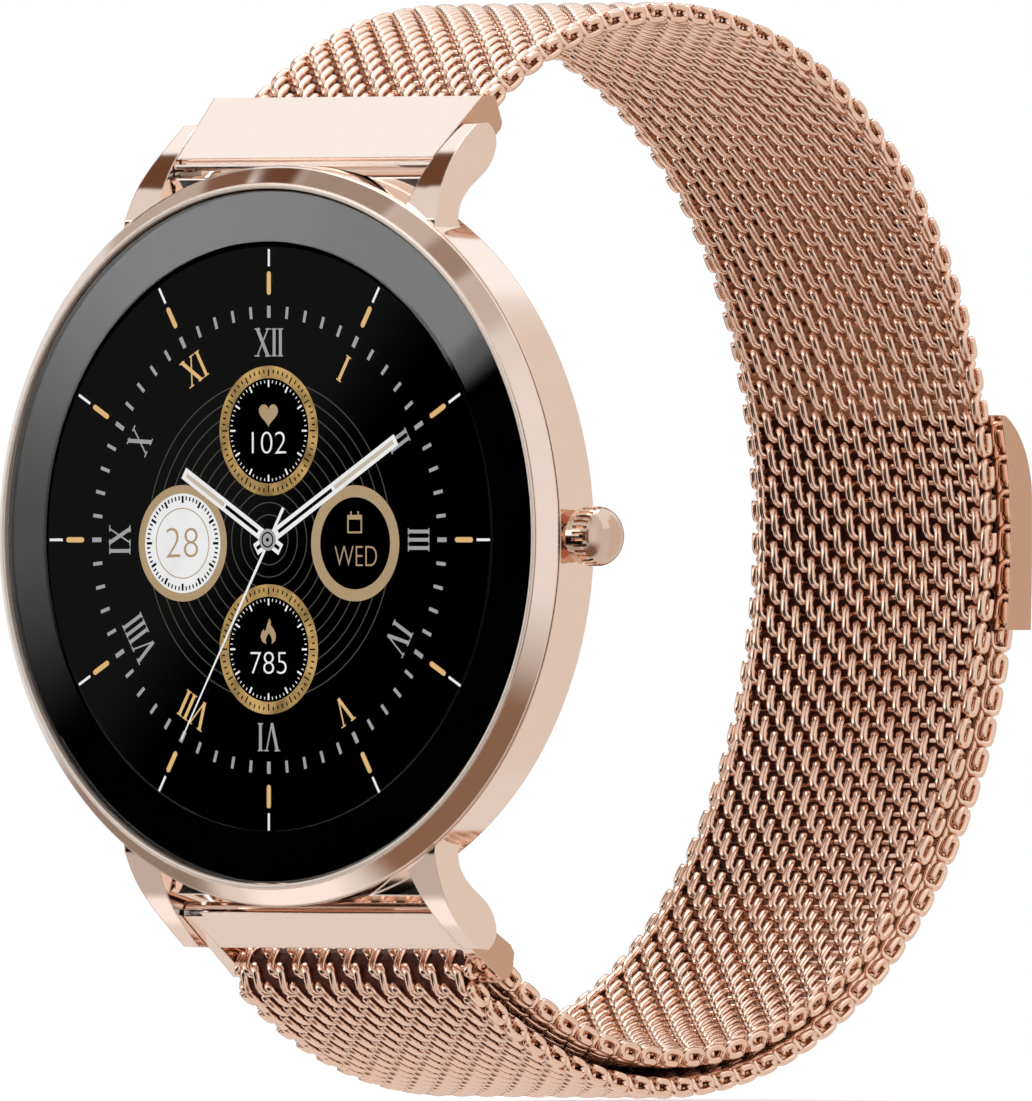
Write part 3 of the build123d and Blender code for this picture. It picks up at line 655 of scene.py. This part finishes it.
def make_bezel():
    """The ring round the glass: a rounded satin lip, then a fine seam and a polished chamfer."""
    inner, outer = GLASS_R + BEZEL_GAP, LIP_MIDDLE + LIP_HALF
    lip = []
    for k in range(LIP_STEPS + 1):
        angle = math.pi * (1 - k / LIP_STEPS)
        lip.append((LIP_MIDDLE + LIP_HALF * math.cos(angle), LIP_FOOT - LIP_RISE * math.sin(angle)))
    lip_profile = [(inner, LIP_BACK), *lip, (outer - 0.03, LIP_BACK)]
    ride_on(lathe("bezel_lip", lip_profile, LIP_SATIN, BEZEL_SHARP), "case", "rose_gold_case")
    bezel_profile = [
        # the seam
        (inner, LIP_BACK + 0.02), (outer - 0.02, LIP_BACK + 0.02), (outer, LIP_FOOT),
        # the chamfer, and its rounded outer edge
        (20.1, 0.09), (21.0, 0.971), (21.03, 1.0), (21.04, 1.01), (21.02, 1.02),
        # the step down to the case, and the back
        (20.7, 1.02), (20.7, 1.09), (inner, 1.09),
    ]
    bezel = lathe("bezel", bezel_profile, POLISHED, BEZEL_SHARP)
    ride_on(bezel, "case", "rose_gold_case", "bezel_ring")


def make_glass():
    """The cover glass, flat over the display with a sloping rim, and the black mask under it."""
    glass_profile = [
        (0, 0),
        (DISPLAY_EDGE_R, 0),
        (GLASS_R - GLASS_EDGE, GLASS_EDGE_DROP),
        (GLASS_R, GLASS_EDGE_DROP + GLASS_EDGE),
        (GLASS_R, GLASS_BACK + GLASS_EDGE_DROP),
        (DISPLAY_EDGE_R, GLASS_BACK),
        (0, GLASS_BACK),
    ]
    glass = lathe("cover_glass", glass_profile, GLASS, GLASS_SHARP)
    ride_on(glass, "case", "crystal_glass", "crystal")
    front = GLASS_BACK + GLASS_EDGE_DROP + MASK_GAP
    mask_profile = [(0, front), (GLASS_R, front), (GLASS_R, MASK_BACK), (0, MASK_BACK)]
    mask = lathe("glass_mask", mask_profile, FINISHES["display"], GLASS_SHARP)
    ride_on(mask, "case", "display")


# ---- the crown ----
def crown_radius(x):
    """The crown's outline: a smooth collar, the ridged part, then the dome."""
    if x < CROWN_START:
        return CROWN_R - CROWN_COLLAR_INSET
    if x < CROWN_DOME_START:
        return CROWN_R
    share = (x - CROWN_DOME_START) / (CROWN_END - CROWN_DOME_START)
    return CROWN_R * math.sqrt(max(0.0, 1 - share * share))


def make_crown():
    """The turning crown: grooves between the ridges run out sharply a little way up the dome."""
    sides = CROWN_TEETH * CROWN_TOOTH_POINTS
    groove_middle = CROWN_TOOTH_POINTS // 2
    stations = [CROWN_COLLAR, CROWN_COLLAR + 0.03, CROWN_START - 0.02, CROWN_START]
    stations += [CROWN_START + 0.06, 22.3, CROWN_DOME_START]
    stations += [22.65, 22.75, 22.85, CROWN_GROOVE_END, CROWN_GROOVE_END + 0.04]
    dome = CROWN_END - CROWN_GROOVE_END - 0.06
    for k in reversed(range(1, CROWN_DOME_STEPS)):
        stations.append(CROWN_END - dome * (1 - math.cos(math.pi / 2 * k / CROWN_DOME_STEPS)))
    centre_y = CROWN_DEPTH - CASE_DEPTH
    vertices = []
    for x in stations:
        ridged = CROWN_START <= x <= CROWN_GROOVE_END
        for i in range(sides):
            angle = FULL_TURN * i / sides
            off_middle = abs(i % CROWN_TOOTH_POINTS - groove_middle)
            cut = 0.0
            if ridged and off_middle <= 1:
                cut = CROWN_GROOVE * (CROWN_GROOVE_SIDE if off_middle else 1.0)
            reach = crown_radius(x) - cut
            vertices.append((x, centre_y + reach * math.cos(angle), reach * math.sin(angle)))
    faces = ring_faces(len(stations), sides)
    faces.append(tuple(range(sides)))
    last = len(vertices) - sides
    vertices.append((CROWN_END, centre_y, 0.0))
    for i in range(sides):
        faces.append((last + i, last + (i + 1) % sides, len(vertices) - 1))
    piece = mesh_piece("crown", vertices, faces, SHADED_CROWN_METAL)
    face_outward(piece)
    piece.data.set_sharp_from_angle(angle=math.radians(CROWN_SHARP))
    ride_on(piece, "crown", "rose_gold_case", "crown_cap")


# ---- flat artwork of the dial ----
class Art:
    """Collects thin closed plates that lie under the glass, all of one material.

    A plate of a higher level lies nearer to the glass.
    """

    def __init__(self, name, material, level):
        self.name = name
        self.material = material
        self.front = ART_FRONT - level * LAYER
        self.back = self.front + PLATE_THICK
        self.vertices = []
        self.faces = []

    def corner(self, x, z, depth):
        self.vertices.append((x + DIAL_CENTRE[0], depth - CASE_DEPTH, z + DIAL_CENTRE[1]))
        return len(self.vertices) - 1

    def plate(self, outline):
        front = [self.corner(x, z, self.front) for x, z in outline]
        back = [self.corner(x, z, self.back) for x, z in outline]
        count = len(outline)
        self.faces.append(tuple(front))
        self.faces.append(tuple(reversed(back)))
        for i in range(count):
            after = (i + 1) % count
            self.faces.append((front[after], front[i], back[i], back[after]))

    def ring(self, centre, outer, inner, sides=96):
        """A flat ring."""
        section = (
            (outer, self.front), (inner, self.front), (inner, self.back), (outer, self.back))
        rows = []
        for i in range(sides):
            angle = FULL_TURN * i / sides
            cos, sin = math.cos(angle), math.sin(angle)
            rows.append([
                self.corner(centre[0] + r * cos, centre[1] + r * sin, depth)
                for r, depth in section
            ])
        for i in range(sides):
            here, after = rows[i], rows[(i + 1) % sides]
            for k in range(4):
                self.faces.append((here[k], here[(k + 1) % 4], after[(k + 1) % 4], after[k]))

    def disc(self, centre, radius, sides=96):
        self.plate([
            (centre[0] + radius * math.cos(FULL_TURN * i / sides),
             centre[1] + radius * math.sin(FULL_TURN * i / sides))
            for i in range(sides)
        ])

    def tick(self, turn, inner, outer, width, centre=(0, 0)):
        """A straight mark pointing out from a centre; turn counts degrees clockwise from twelve."""
        out = (math.sin(math.radians(turn)), math.cos(math.radians(turn)))
        self.stroke((centre[0] + inner * out[0], centre[1] + inner * out[1]),
                    (centre[0] + outer * out[0], centre[1] + outer * out[1]), width)

    def stroke(self, start, end, width, end_width=None):
        """A straight bar, which may taper to another width at its end."""
        end_width = width if end_width is None else end_width
        dx, dz = end[0] - start[0], end[1] - start[1]
        length = math.hypot(dx, dz)
        nx, nz = -dz / length, dx / length
        self.plate([
            (start[0] - nx * width / 2, start[1] - nz * width / 2),
            (end[0] - nx * end_width / 2, end[1] - nz * end_width / 2),
            (end[0] + nx * end_width / 2, end[1] + nz * end_width / 2),
            (start[0] + nx * width / 2, start[1] + nz * width / 2),
        ])

    def capsule(self, turn, inner, outer, width):
        """A mark with round ends."""
        angle = math.radians(turn)
        out = (math.sin(angle), math.cos(angle))
        side = (out[1], -out[0])
        half = width / 2
        outline = []
        for middle, first in ((outer - half, 0.0), (inner + half, math.pi)):
            for i in range(9):
                bend = first + math.pi * i / 8
                along = middle + half * math.sin(bend)
                beside = half * math.cos(bend)
                outline.append((out[0] * along + side[0] * beside,
                                out[1] * along + side[1] * beside))
        self.plate(outline)

    def letters(self, text, middle, width, height):
        """Lettering in the plain built-in font, fitted to a width and a height."""
        curve = bpy.data.curves.new("lettering", "FONT")
        curve.body = text
        curve.offset = LETTER_THINNING
        holder = link(bpy.data.objects.new("lettering", curve))
        bpy.context.view_layer.update()
        graph = bpy.context.evaluated_depsgraph_get()
        mesh = bpy.data.meshes.new_from_object(holder.evaluated_get(graph))
        corners = np.array([v.co for v in mesh.vertices])
        low, high = corners.min(0), corners.max(0)
        scale = (width / (high[0] - low[0]), height / (high[1] - low[1]))
        centre = (low + high) / 2
        shape = bmesh.new()
        shape.from_mesh(mesh)
        bmesh.ops.remove_doubles(shape, verts=shape.verts, dist=1e-5)
        bmesh.ops.dissolve_degenerate(shape, edges=shape.edges, dist=1e-6)
        extruded = bmesh.ops.extrude_face_region(shape, geom=shape.faces[:])
        for item in extruded["geom"]:
            if isinstance(item, bmesh.types.BMVert):
                item.co.z += 1.0
        shape.verts.index_update()
        first = len(self.vertices)
        for vertex in shape.verts:
            depth = self.back if vertex.co.z > 0.5 else self.front
            self.corner(middle[0] + (vertex.co.x - centre[0]) * scale[0],
                        middle[1] + (vertex.co.y - centre[1]) * scale[1], depth)
        self.faces.extend(tuple(first + v.index for v in face.verts) for face in shape.faces)
        shape.free()
        bpy.data.objects.remove(holder)
        bpy.data.meshes.remove(mesh)
        bpy.data.curves.remove(curve)

    def finish(self):
        piece = mesh_piece(self.name, self.vertices, self.faces, self.material, smooth=False)
        face_outward(piece)
        return ride_on(piece, "case", "display")


WHITE = glowing("glow_white", (0.9, 0.9, 0.9))
GREY = glowing("glow_grey", (0.38, 0.38, 0.39))
GOLD = glowing("glow_gold", (0.78, 0.5, 0.21))
TAN = glowing("glow_tan", (0.46, 0.33, 0.19))
RING_GOLD = glowing("glow_ring_gold", (0.42, 0.27, 0.1), spread=0.65)
DIM = glowing("glow_dim", (0.075, 0.07, 0.058))
BLACK = glowing("glow_off", (0.0, 0.0, 0.0))
BEIGE = glowing("glow_beige", (0.6, 0.52, 0.42))
# painted reflection of the glass, as a faint grey glow
PAINTED_REFLECTION = painted_glass_reflection()

NUMERALS = ["XII", "I", "II", "III", "IV", "V", "VI", "VII", "VIII", "IX", "X", "XI"]
GOLD_NUMERALS = ("I", "V", "VII", "XI")
LETTER_WIDTHS = {"I": 0.34, "V": 0.92, "X": 0.92}
LETTER_SQUEEZE = 0.86
SERIF = 0.045


def serif(left, right, foot):
    """A level stroke along the foot or the top of a letter."""
    height = SERIF / 2 if foot else 1 - SERIF / 2
    return (left, height), (right, height), SERIF


def numeral_strokes(letter):
    """Start, end and width of a letter's strokes, in a box one unit high."""
    if letter == "I":
        return [((0.17, 0), (0.17, 1), 0.13), serif(0.03, 0.31, True), serif(0.03, 0.31, False)]
    if letter == "V":
        return [((0.16, 1), (0.47, 0), 0.13), ((0.76, 1), (0.47, 0), 0.055),
                serif(0.02, 0.32, False), serif(0.64, 0.9, False)]
    return [((0.16, 1), (0.76, 0), 0.14), ((0.76, 1), (0.16, 0), 0.055),
            serif(0.02, 0.32, False), serif(0.63, 0.9, False),
            serif(0.02, 0.3, True), serif(0.6, 0.9, True)]


def draw_numeral(art, text, turn, radius, height):
    """A Roman numeral with its foot towards the dial's centre."""
    angle = math.radians(turn)
    out = (math.sin(angle), math.cos(angle))
    side = (out[1], -out[0])
    left = -sum(LETTER_WIDTHS[letter] for letter in text) / 2

    def place(x, z):
        beside = (left + x) * height * LETTER_SQUEEZE
        along = radius + (z - 0.5) * height
        return (side[0] * beside + out[0] * along, side[1] * beside + out[1] * along)

    for letter in text:
        for start, end, stroke in numeral_strokes(letter):
            art.stroke(place(*start), place(*end), stroke * height)
        left += LETTER_WIDTHS[letter]


def small_dial(centre, base, ring_art, tick_art, cut_art):
    """A sub-dial: a ring cut by sixty dark marks, and a round of sixty fine ones inside it."""
    base.disc(centre, 3.7)
    ring_art.ring(centre, 3.7, 3.0)
    for k in range(60):
        if k % 5:
            tick_art.tick(6 * k, 2.72, 2.88, 0.05, centre)
        else:
            tick_art.tick(6 * k, 2.5, 2.88, 0.11, centre)
    for k in range(60):
        cut_art.tick(6 * k, 3.28 if k % 5 else 3.1, 3.5, 0.09, centre)


def hand(body, slots, filling, tip):
    """A straight hand: a body, dark slots in its inner part and a pale filling near its tip."""
    length = math.hypot(*tip)
    out = (tip[0] / length, tip[1] / length)

    def at(distance):
        return (out[0] * distance, out[1] * distance)

    body.stroke(at(-HAND_TAIL), at(length), HAND_WIDTH)
    slots.stroke(at(0.9), at(length * 0.5), HAND_WIDTH * 0.3)
    slots.stroke(at(0.12 - HAND_TAIL), at(-0.55), HAND_WIDTH * 0.3)
    filling.stroke(at(length * 0.52), at(length - 0.25), HAND_WIDTH * 0.36)


def heart_outline(centre, width, height):
    """A heart, from a formula for its curve."""
    points = []
    for i in range(40):
        t = FULL_TURN * i / 40
        x = 16 * math.sin(t) ** 3 / 32
        z = (13 * math.cos(t) - 5 * math.cos(2 * t) - 2 * math.cos(3 * t) - math.cos(4 * t)) / 29
        points.append((centre[0] + x * width, centre[1] + z * height))
    return points


def flame_outline(centre, width, height):
    """A flame that leans at its tip and is open at its foot."""
    outline = [
        (0.06, 0.5), (0.16, 0.36), (0.14, 0.24), (0.3, 0.12), (0.44, -0.06), (0.48, -0.22),
        (0.42, -0.38), (0.2, -0.5), (0.24, -0.34), (0.16, -0.2), (0.04, -0.06), (-0.1, -0.2),
        (-0.18, -0.34), (-0.14, -0.5), (-0.4, -0.4), (-0.5, -0.22), (-0.44, -0.04), (-0.3, 0.08),
        (-0.26, -0.02), (-0.16, 0.06), (-0.08, 0.26),
    ]
    return [(centre[0] + x * width, centre[1] + z * height) for x, z in outline]


def draw_calendar(art):
    """A small calendar's outline: a foot, two sides, two tabs and a heavy top."""
    left, right, foot, top = 5.97, 6.97, 0.42, 1.3
    art.stroke((left - 0.05, foot), (right + 0.05, foot), 0.1)
    for x in (left, right):
        art.stroke((x, foot), (x, top), 0.1)
    for x in (6.2, 6.74):
        art.stroke((x, top), (x, top + 0.32), 0.1)
    art.stroke((left - 0.05, top - 0.02), (right + 0.05, top - 0.02), 0.26)


def make_dial():
    """The lit dial: its fixed marks, the four small dials, and then the hands."""
    painted_reflection = Art("dial_painted_reflection", PAINTED_REFLECTION, 0)
    dim = Art("dial_rings", DIM, 1)
    white = Art("dial_white", WHITE, 3)
    grey = Art("dial_grey", GREY, 3)
    gold = Art("dial_gold", GOLD, 3)
    # a disc of painted reflection: a faint grey glow under all the dial's marks
    painted_reflection.disc((0, 0), DISPLAY_EDGE_R - 0.1, 128)
    for k in range(FINE_RINGS):
        radius = FINE_RING_R + FINE_RING_STEP * k
        dim.ring((0, 0), radius + FINE_RING_HALF, radius - FINE_RING_HALF, sides=160)
    for turn in range(0, 360, 30):
        white.tick(turn, *HOUR_TICKS, 0.15)
        gold.capsule(turn, *HOUR_BARS, 0.3)
    for k in range(60):
        grey.tick(6 * k, *MINUTE_TICKS, 0.2 if k % 5 else 0.26)
    for k, text in enumerate(NUMERALS):
        art = gold if text in GOLD_NUMERALS else grey
        draw_numeral(art, text, 30 * k, NUMERAL_R, NUMERAL_HEIGHT)

    base = Art("dial_small_bases", BLACK, 2)
    disc_white = Art("dial_date_disc", WHITE, 4)
    ring_gold = Art("dial_small_gold_rings", RING_GOLD, 4)
    ring_tan = Art("dial_small_tan_rings", TAN, 4)
    fine_white = Art("dial_small_white", WHITE, 5)
    fine_black = Art("dial_small_black", BLACK, 5)
    fine_tan = Art("dial_small_tan", TAN, 6)
    for centre in (TOP_DIAL, BOTTOM_DIAL):
        small_dial(centre, base, ring_gold, fine_white, fine_black)
    base.disc(LEFT_DIAL, 3.32)
    ring_tan.ring(LEFT_DIAL, 3.32, 2.84)
    disc_white.disc(LEFT_DIAL, 2.84)
    for k in range(60):
        if k % 5:
            fine_black.tick(6 * k, 2.46, 2.7, 0.1, LEFT_DIAL)
        else:
            fine_black.tick(6 * k, 2.3, 2.7, 0.15, LEFT_DIAL)
    fine_tan.ring(LEFT_DIAL, 2.02, 1.96)
    base.disc(RIGHT_DIAL, 3.3)
    ring_tan.ring(RIGHT_DIAL, 3.3, 2.62)
    fine_tan.plate(heart_outline((0, 7.17), 1.43, 1.31))
    fine_white.letters("102", (0.03, 5.52), 2.56, 1.25)
    fine_tan.plate(flame_outline((0, -5.2), 1.17, 1.47))
    fine_white.letters("785", (0.0, -7.0), 2.7, 1.25)
    fine_tan.letters("28", (-6.5, -0.17), 2.4, 1.7)
    fine_tan.letters("WED", (6.55, -0.93), 3.16, 1.14)
    draw_calendar(fine_tan)

    hands_white = Art("hands_white", WHITE, 8)
    hands_slot = Art("hands_slots", BLACK, 9)
    hands_lume = Art("hands_lume", BEIGE, 9)
    seconds = Art("hand_seconds", WHITE, 11)
    cap = Art("hand_cap", GREY, 12)
    cap_ring = Art("hand_cap_ring", BLACK, 13)
    for tip in (HOUR_TIP, MINUTE_TIP):
        hand(hands_white, hands_slot, hands_lume, tip)
    seconds.stroke((1.17, 1.82), (-6.5, -11.38), 0.2, 0.08)
    cap.disc((0, 0), 0.62, 48)
    cap_ring.ring((0, 0), 0.45, 0.36, 48)
    cap_ring.disc((0, 0), 0.12, 24)
    for art in (white, grey, gold, dim, painted_reflection, base, disc_white, ring_gold, ring_tan,
                fine_white, fine_tan, fine_black, hands_white, hands_slot, hands_lume,
                seconds, cap, cap_ring):
        art.finish()


# ---- finishes of the CAD nodes ----
def finish_nodes():
    """Gives every CAD node the finish of its material slot."""
    slots = {part["node"]: part["material_slot"] for part in frame["record"]["subparts"]}
    for name, node in frame["nodes"].items():
        node.data.materials.clear()
        node.data.materials.append(LINK_METAL if name in SHADED_SIDE_PARTS else FINISHES[slots[name]])


# ---- studio ----
def world_panel(tree, direction, under, limits, soft, colour):
    """Lays a soft-edged panel over the surroundings, given as ranges of the direction's axes.

    A limit of one or minus one, which is as far as a direction goes, has no edge.
    """
    share = None
    for axis, (low, high) in limits.items():
        for edge, inward in ((low, 1), (high, -1)):
            if abs(edge) >= 1:
                continue
            fade = tree.nodes.new("ShaderNodeMapRange")
            fade.interpolation_type = "SMOOTHSTEP"
            fade.inputs["From Min"].default_value = edge - soft * inward
            fade.inputs["From Max"].default_value = edge + soft * inward
            link_nodes(tree, direction.outputs[axis], fade.inputs["Value"])
            if share is None:
                share = fade.outputs["Result"]
                continue
            multiply = tree.nodes.new("ShaderNodeMath")
            multiply.operation = "MULTIPLY"
            link_nodes(tree, share, multiply.inputs[0])
            link_nodes(tree, fade.outputs["Result"], multiply.inputs[1])
            share = multiply.outputs[0]
    return mix_in(tree, share, under, colour)


def make_world():
    """A pale room, with bright and dark panels that the metal and the glass reflect.

    The camera itself sees plain white.
    """
    world = bpy.data.worlds.new("studio")
    bpy.context.scene.world = world
    world.use_nodes = True
    tree = world.node_tree
    background = tree.nodes["Background"]
    coordinates = tree.nodes.new("ShaderNodeTexCoord")
    direction = tree.nodes.new("ShaderNodeSeparateXYZ")
    link_nodes(tree, coordinates.outputs["Generated"], direction.inputs[0])
    start = tree.nodes.new("ShaderNodeRGB")
    start.outputs[0].default_value = (0.78, 0.77, 0.76, 1)
    colour = start.outputs[0]
    panels = [
        # behind the dial's plane, up: the upper plate
        ({"X": (-0.71, 1), "Y": (0.03, 1), "Z": (0.35, 1)}, 0.02, (1.02, 1.08, 1.12)),
        # behind, to the right: the case's flank
        ({"X": (0.1, 1), "Y": (0.45, 1), "Z": (-0.75, 0.65)}, 0.06, (0.76, 0.7, 0.65)),
        # behind and below: the lower plate
        ({"X": (-1, 0.1), "Y": (0.0, 1), "Z": (-1, -0.4)}, 0.08, (0.79, 0.75, 0.72)),
        # the chamfer's lower half: brown at its left end, and at its right
        ({"X": (-1, -0.77), "Y": (0.1, 0.5), "Z": (-0.62, -0.12)}, 0.06, (0.29, 0.23, 0.19)),
        ({"X": (-0.28, 0.6), "Y": (-0.75, -0.15), "Z": (-1, -0.55)}, 0.1, (0.25, 0.15, 0.1)),
        # pale, round the camera, for the faces that look straight at it
        ({"X": (0.5, 1), "Y": (-1, -0.4), "Z": (-0.3, 0.65)}, 0.12, (0.86, 0.85, 0.85)),
        # the bright middle of the chamfer's lower half
        ({"X": (-0.71, -0.36), "Y": (-0.18, 0.08), "Z": (-1, -0.6)}, 0.04, (1.03, 1.02, 1.02)),
        # duller, in front of that, for the lower lugs
        ({"X": (-1, -0.5), "Y": (-0.75, -0.2), "Z": (-1, -0.35)}, 0.05, (0.55, 0.51, 0.48)),
        # the chamfer's upper half, from left to right
        ({"X": (-1, -0.705), "Y": (0.15, 1), "Z": (0.3, 1)}, 0.03, (0.5, 0.45, 0.41)),
        ({"X": (-0.81, -0.705), "Y": (-0.33, 0.16), "Z": (0.55, 1)}, 0.015, (0.21, 0.12, 0.08)),
        ({"X": (-1, -0.57), "Y": (-0.33, 0.03), "Z": (0.4, 1)}, 0.02, (0.14, 0.065, 0.035)),
        ({"X": (-0.57, -0.2), "Y": (-0.33, 0.0), "Z": (0.7, 1)}, 0.03, (0.36, 0.3, 0.26)),
        ({"X": (-0.2, 0.0), "Y": (-0.45, -0.2), "Z": (0.7, 1)}, 0.03, (0.57, 0.52, 0.48)),
        ({"X": (0.0, 0.2), "Y": (-0.5, -0.3), "Z": (0.7, 1)}, 0.03, (0.34, 0.27, 0.22)),
        ({"X": (0.2, 0.4), "Y": (-0.6, -0.4), "Z": (0.7, 1)}, 0.04, (0.58, 0.53, 0.5)),
        # brown card left of the camera, for the crown's band, and a dark one before the dial
        ({"X": (0.2, 0.42), "Y": (-1, -0.7), "Z": (-0.4, 0.4)}, 0.06, (0.2, 0.11, 0.075)),
        ({"X": (-0.22, 0.15), "Y": (-1, -0.9), "Z": (-0.3, 0.3)}, 0.05, (0.06, 0.05, 0.045)),
        # bright box left of the camera, that the top and left of the glass's rim show
        ({"X": (-1, -0.5), "Y": (-1, -0.55), "Z": (0.054, 0.3)}, 0.05, (2.45, 2.45, 2.45)),
        ({"X": (-0.63, -0.5), "Y": (-1, -0.55), "Z": (0.05, 0.3)}, 0.01, (2.3, 2.3, 2.3)),
        # dark room that the flat glass and the lower right of its rim show
        ({"X": (-0.7, -0.2), "Y": (-1, -0.55), "Z": (-0.45, 0.03)}, 0.02, (0.0, 0.0, 0.0)),
        ({"X": (-0.85, -0.2), "Y": (-1, -0.55), "Z": (-0.45, -0.03)}, 0.035, (0.0, 0.0, 0.0)),
        ({"X": (-0.561, -0.2), "Y": (-1, -0.55), "Z": (-0.45, 0.15)}, 0.003, (0.0, 0.0, 0.0)),
        # a soft brown fall-off below the camera
        ({"X": (0.1, 1), "Y": (-1, -0.2), "Z": (-1, -0.5)}, 0.3, (0.24, 0.15, 0.1)),
    ]
    for limits, soft, shade in panels:
        colour = world_panel(tree, direction, colour, limits, soft, shade)
    path = tree.nodes.new("ShaderNodeLightPath")
    seen = mix_in(tree, path.outputs["Is Camera Ray"], colour, (1, 1, 1))
    link_nodes(tree, seen, background.inputs["Color"])
    background.inputs["Strength"].default_value = 1.0


def make_floor():
    """A plain pale round floor just below the watch, which its metal and glass don't reflect."""
    material, tree, shader = new_material("floor_pale")
    noise = noise_colour(tree, shader, (0.9, 0.9, 0.9), 0.01, 40.0)
    roughness_range(tree, shader, noise, 0.8, 0.9)
    shader.inputs["Emission Color"].default_value = (1, 1, 1, 1)
    shader.inputs["Emission Strength"].default_value = FLOOR_GLOW
    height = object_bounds()[0].z / MM - FLOOR_GAP
    vertices = []
    for i in range(FLOOR_SIDES):
        angle = FULL_TURN * i / FLOOR_SIDES
        vertices.append(
            (FLOOR_R * math.cos(angle), FLOOR_MIDDLE_Y + FLOOR_R * math.sin(angle), height))
    floor = mesh_piece("floor", vertices, [tuple(range(FLOOR_SIDES))], material, smooth=False)
    floor.visible_glossy = False
    floor.visible_transmission = False


def make_lights():
    """One broad soft light from above; its sizes are in metres."""
    data = bpy.data.lights.new("softbox", "AREA")
    data.shape = "DISK"
    data.size = 0.8
    data.energy = 4.0
    light = link(bpy.data.objects.new("softbox", data))
    light.location = (-0.3, 0.2, 1.2)
    light.rotation_mode = "QUATERNION"
    light.rotation_quaternion = light.location.to_track_quat("Z", "Y")


def make_camera():
    """A long lens far away, so that the view is nearly parallel."""
    turn = math.radians(VIEW_AZIMUTH)
    back = Vector((math.sin(turn), -math.cos(turn), 0))
    right = Vector((math.cos(turn), math.sin(turn), 0))
    aim = Vector((0, -CASE_DEPTH, AIM_UP)) + right * AIM_RIGHT
    data = bpy.data.cameras.new("camera")
    data.lens = data.sensor_width * CAMERA_DISTANCE / FRAME_HEIGHT
    data.clip_start = 0.1
    data.clip_end = 20.0
    camera = link(bpy.data.objects.new("camera", data))
    camera.rotation_mode = "QUATERNION"
    camera.location = (aim + back * CAMERA_DISTANCE) * MM
    camera.rotation_quaternion = back.to_track_quat("Z", "Y")
    bpy.context.scene.camera = camera


bpy.context.scene.view_settings.view_transform = "Standard"
finish_nodes()
make_band()
make_bezel()
make_glass()
make_crown()
make_dial()
make_world()
make_floor()
make_lights()
make_camera()
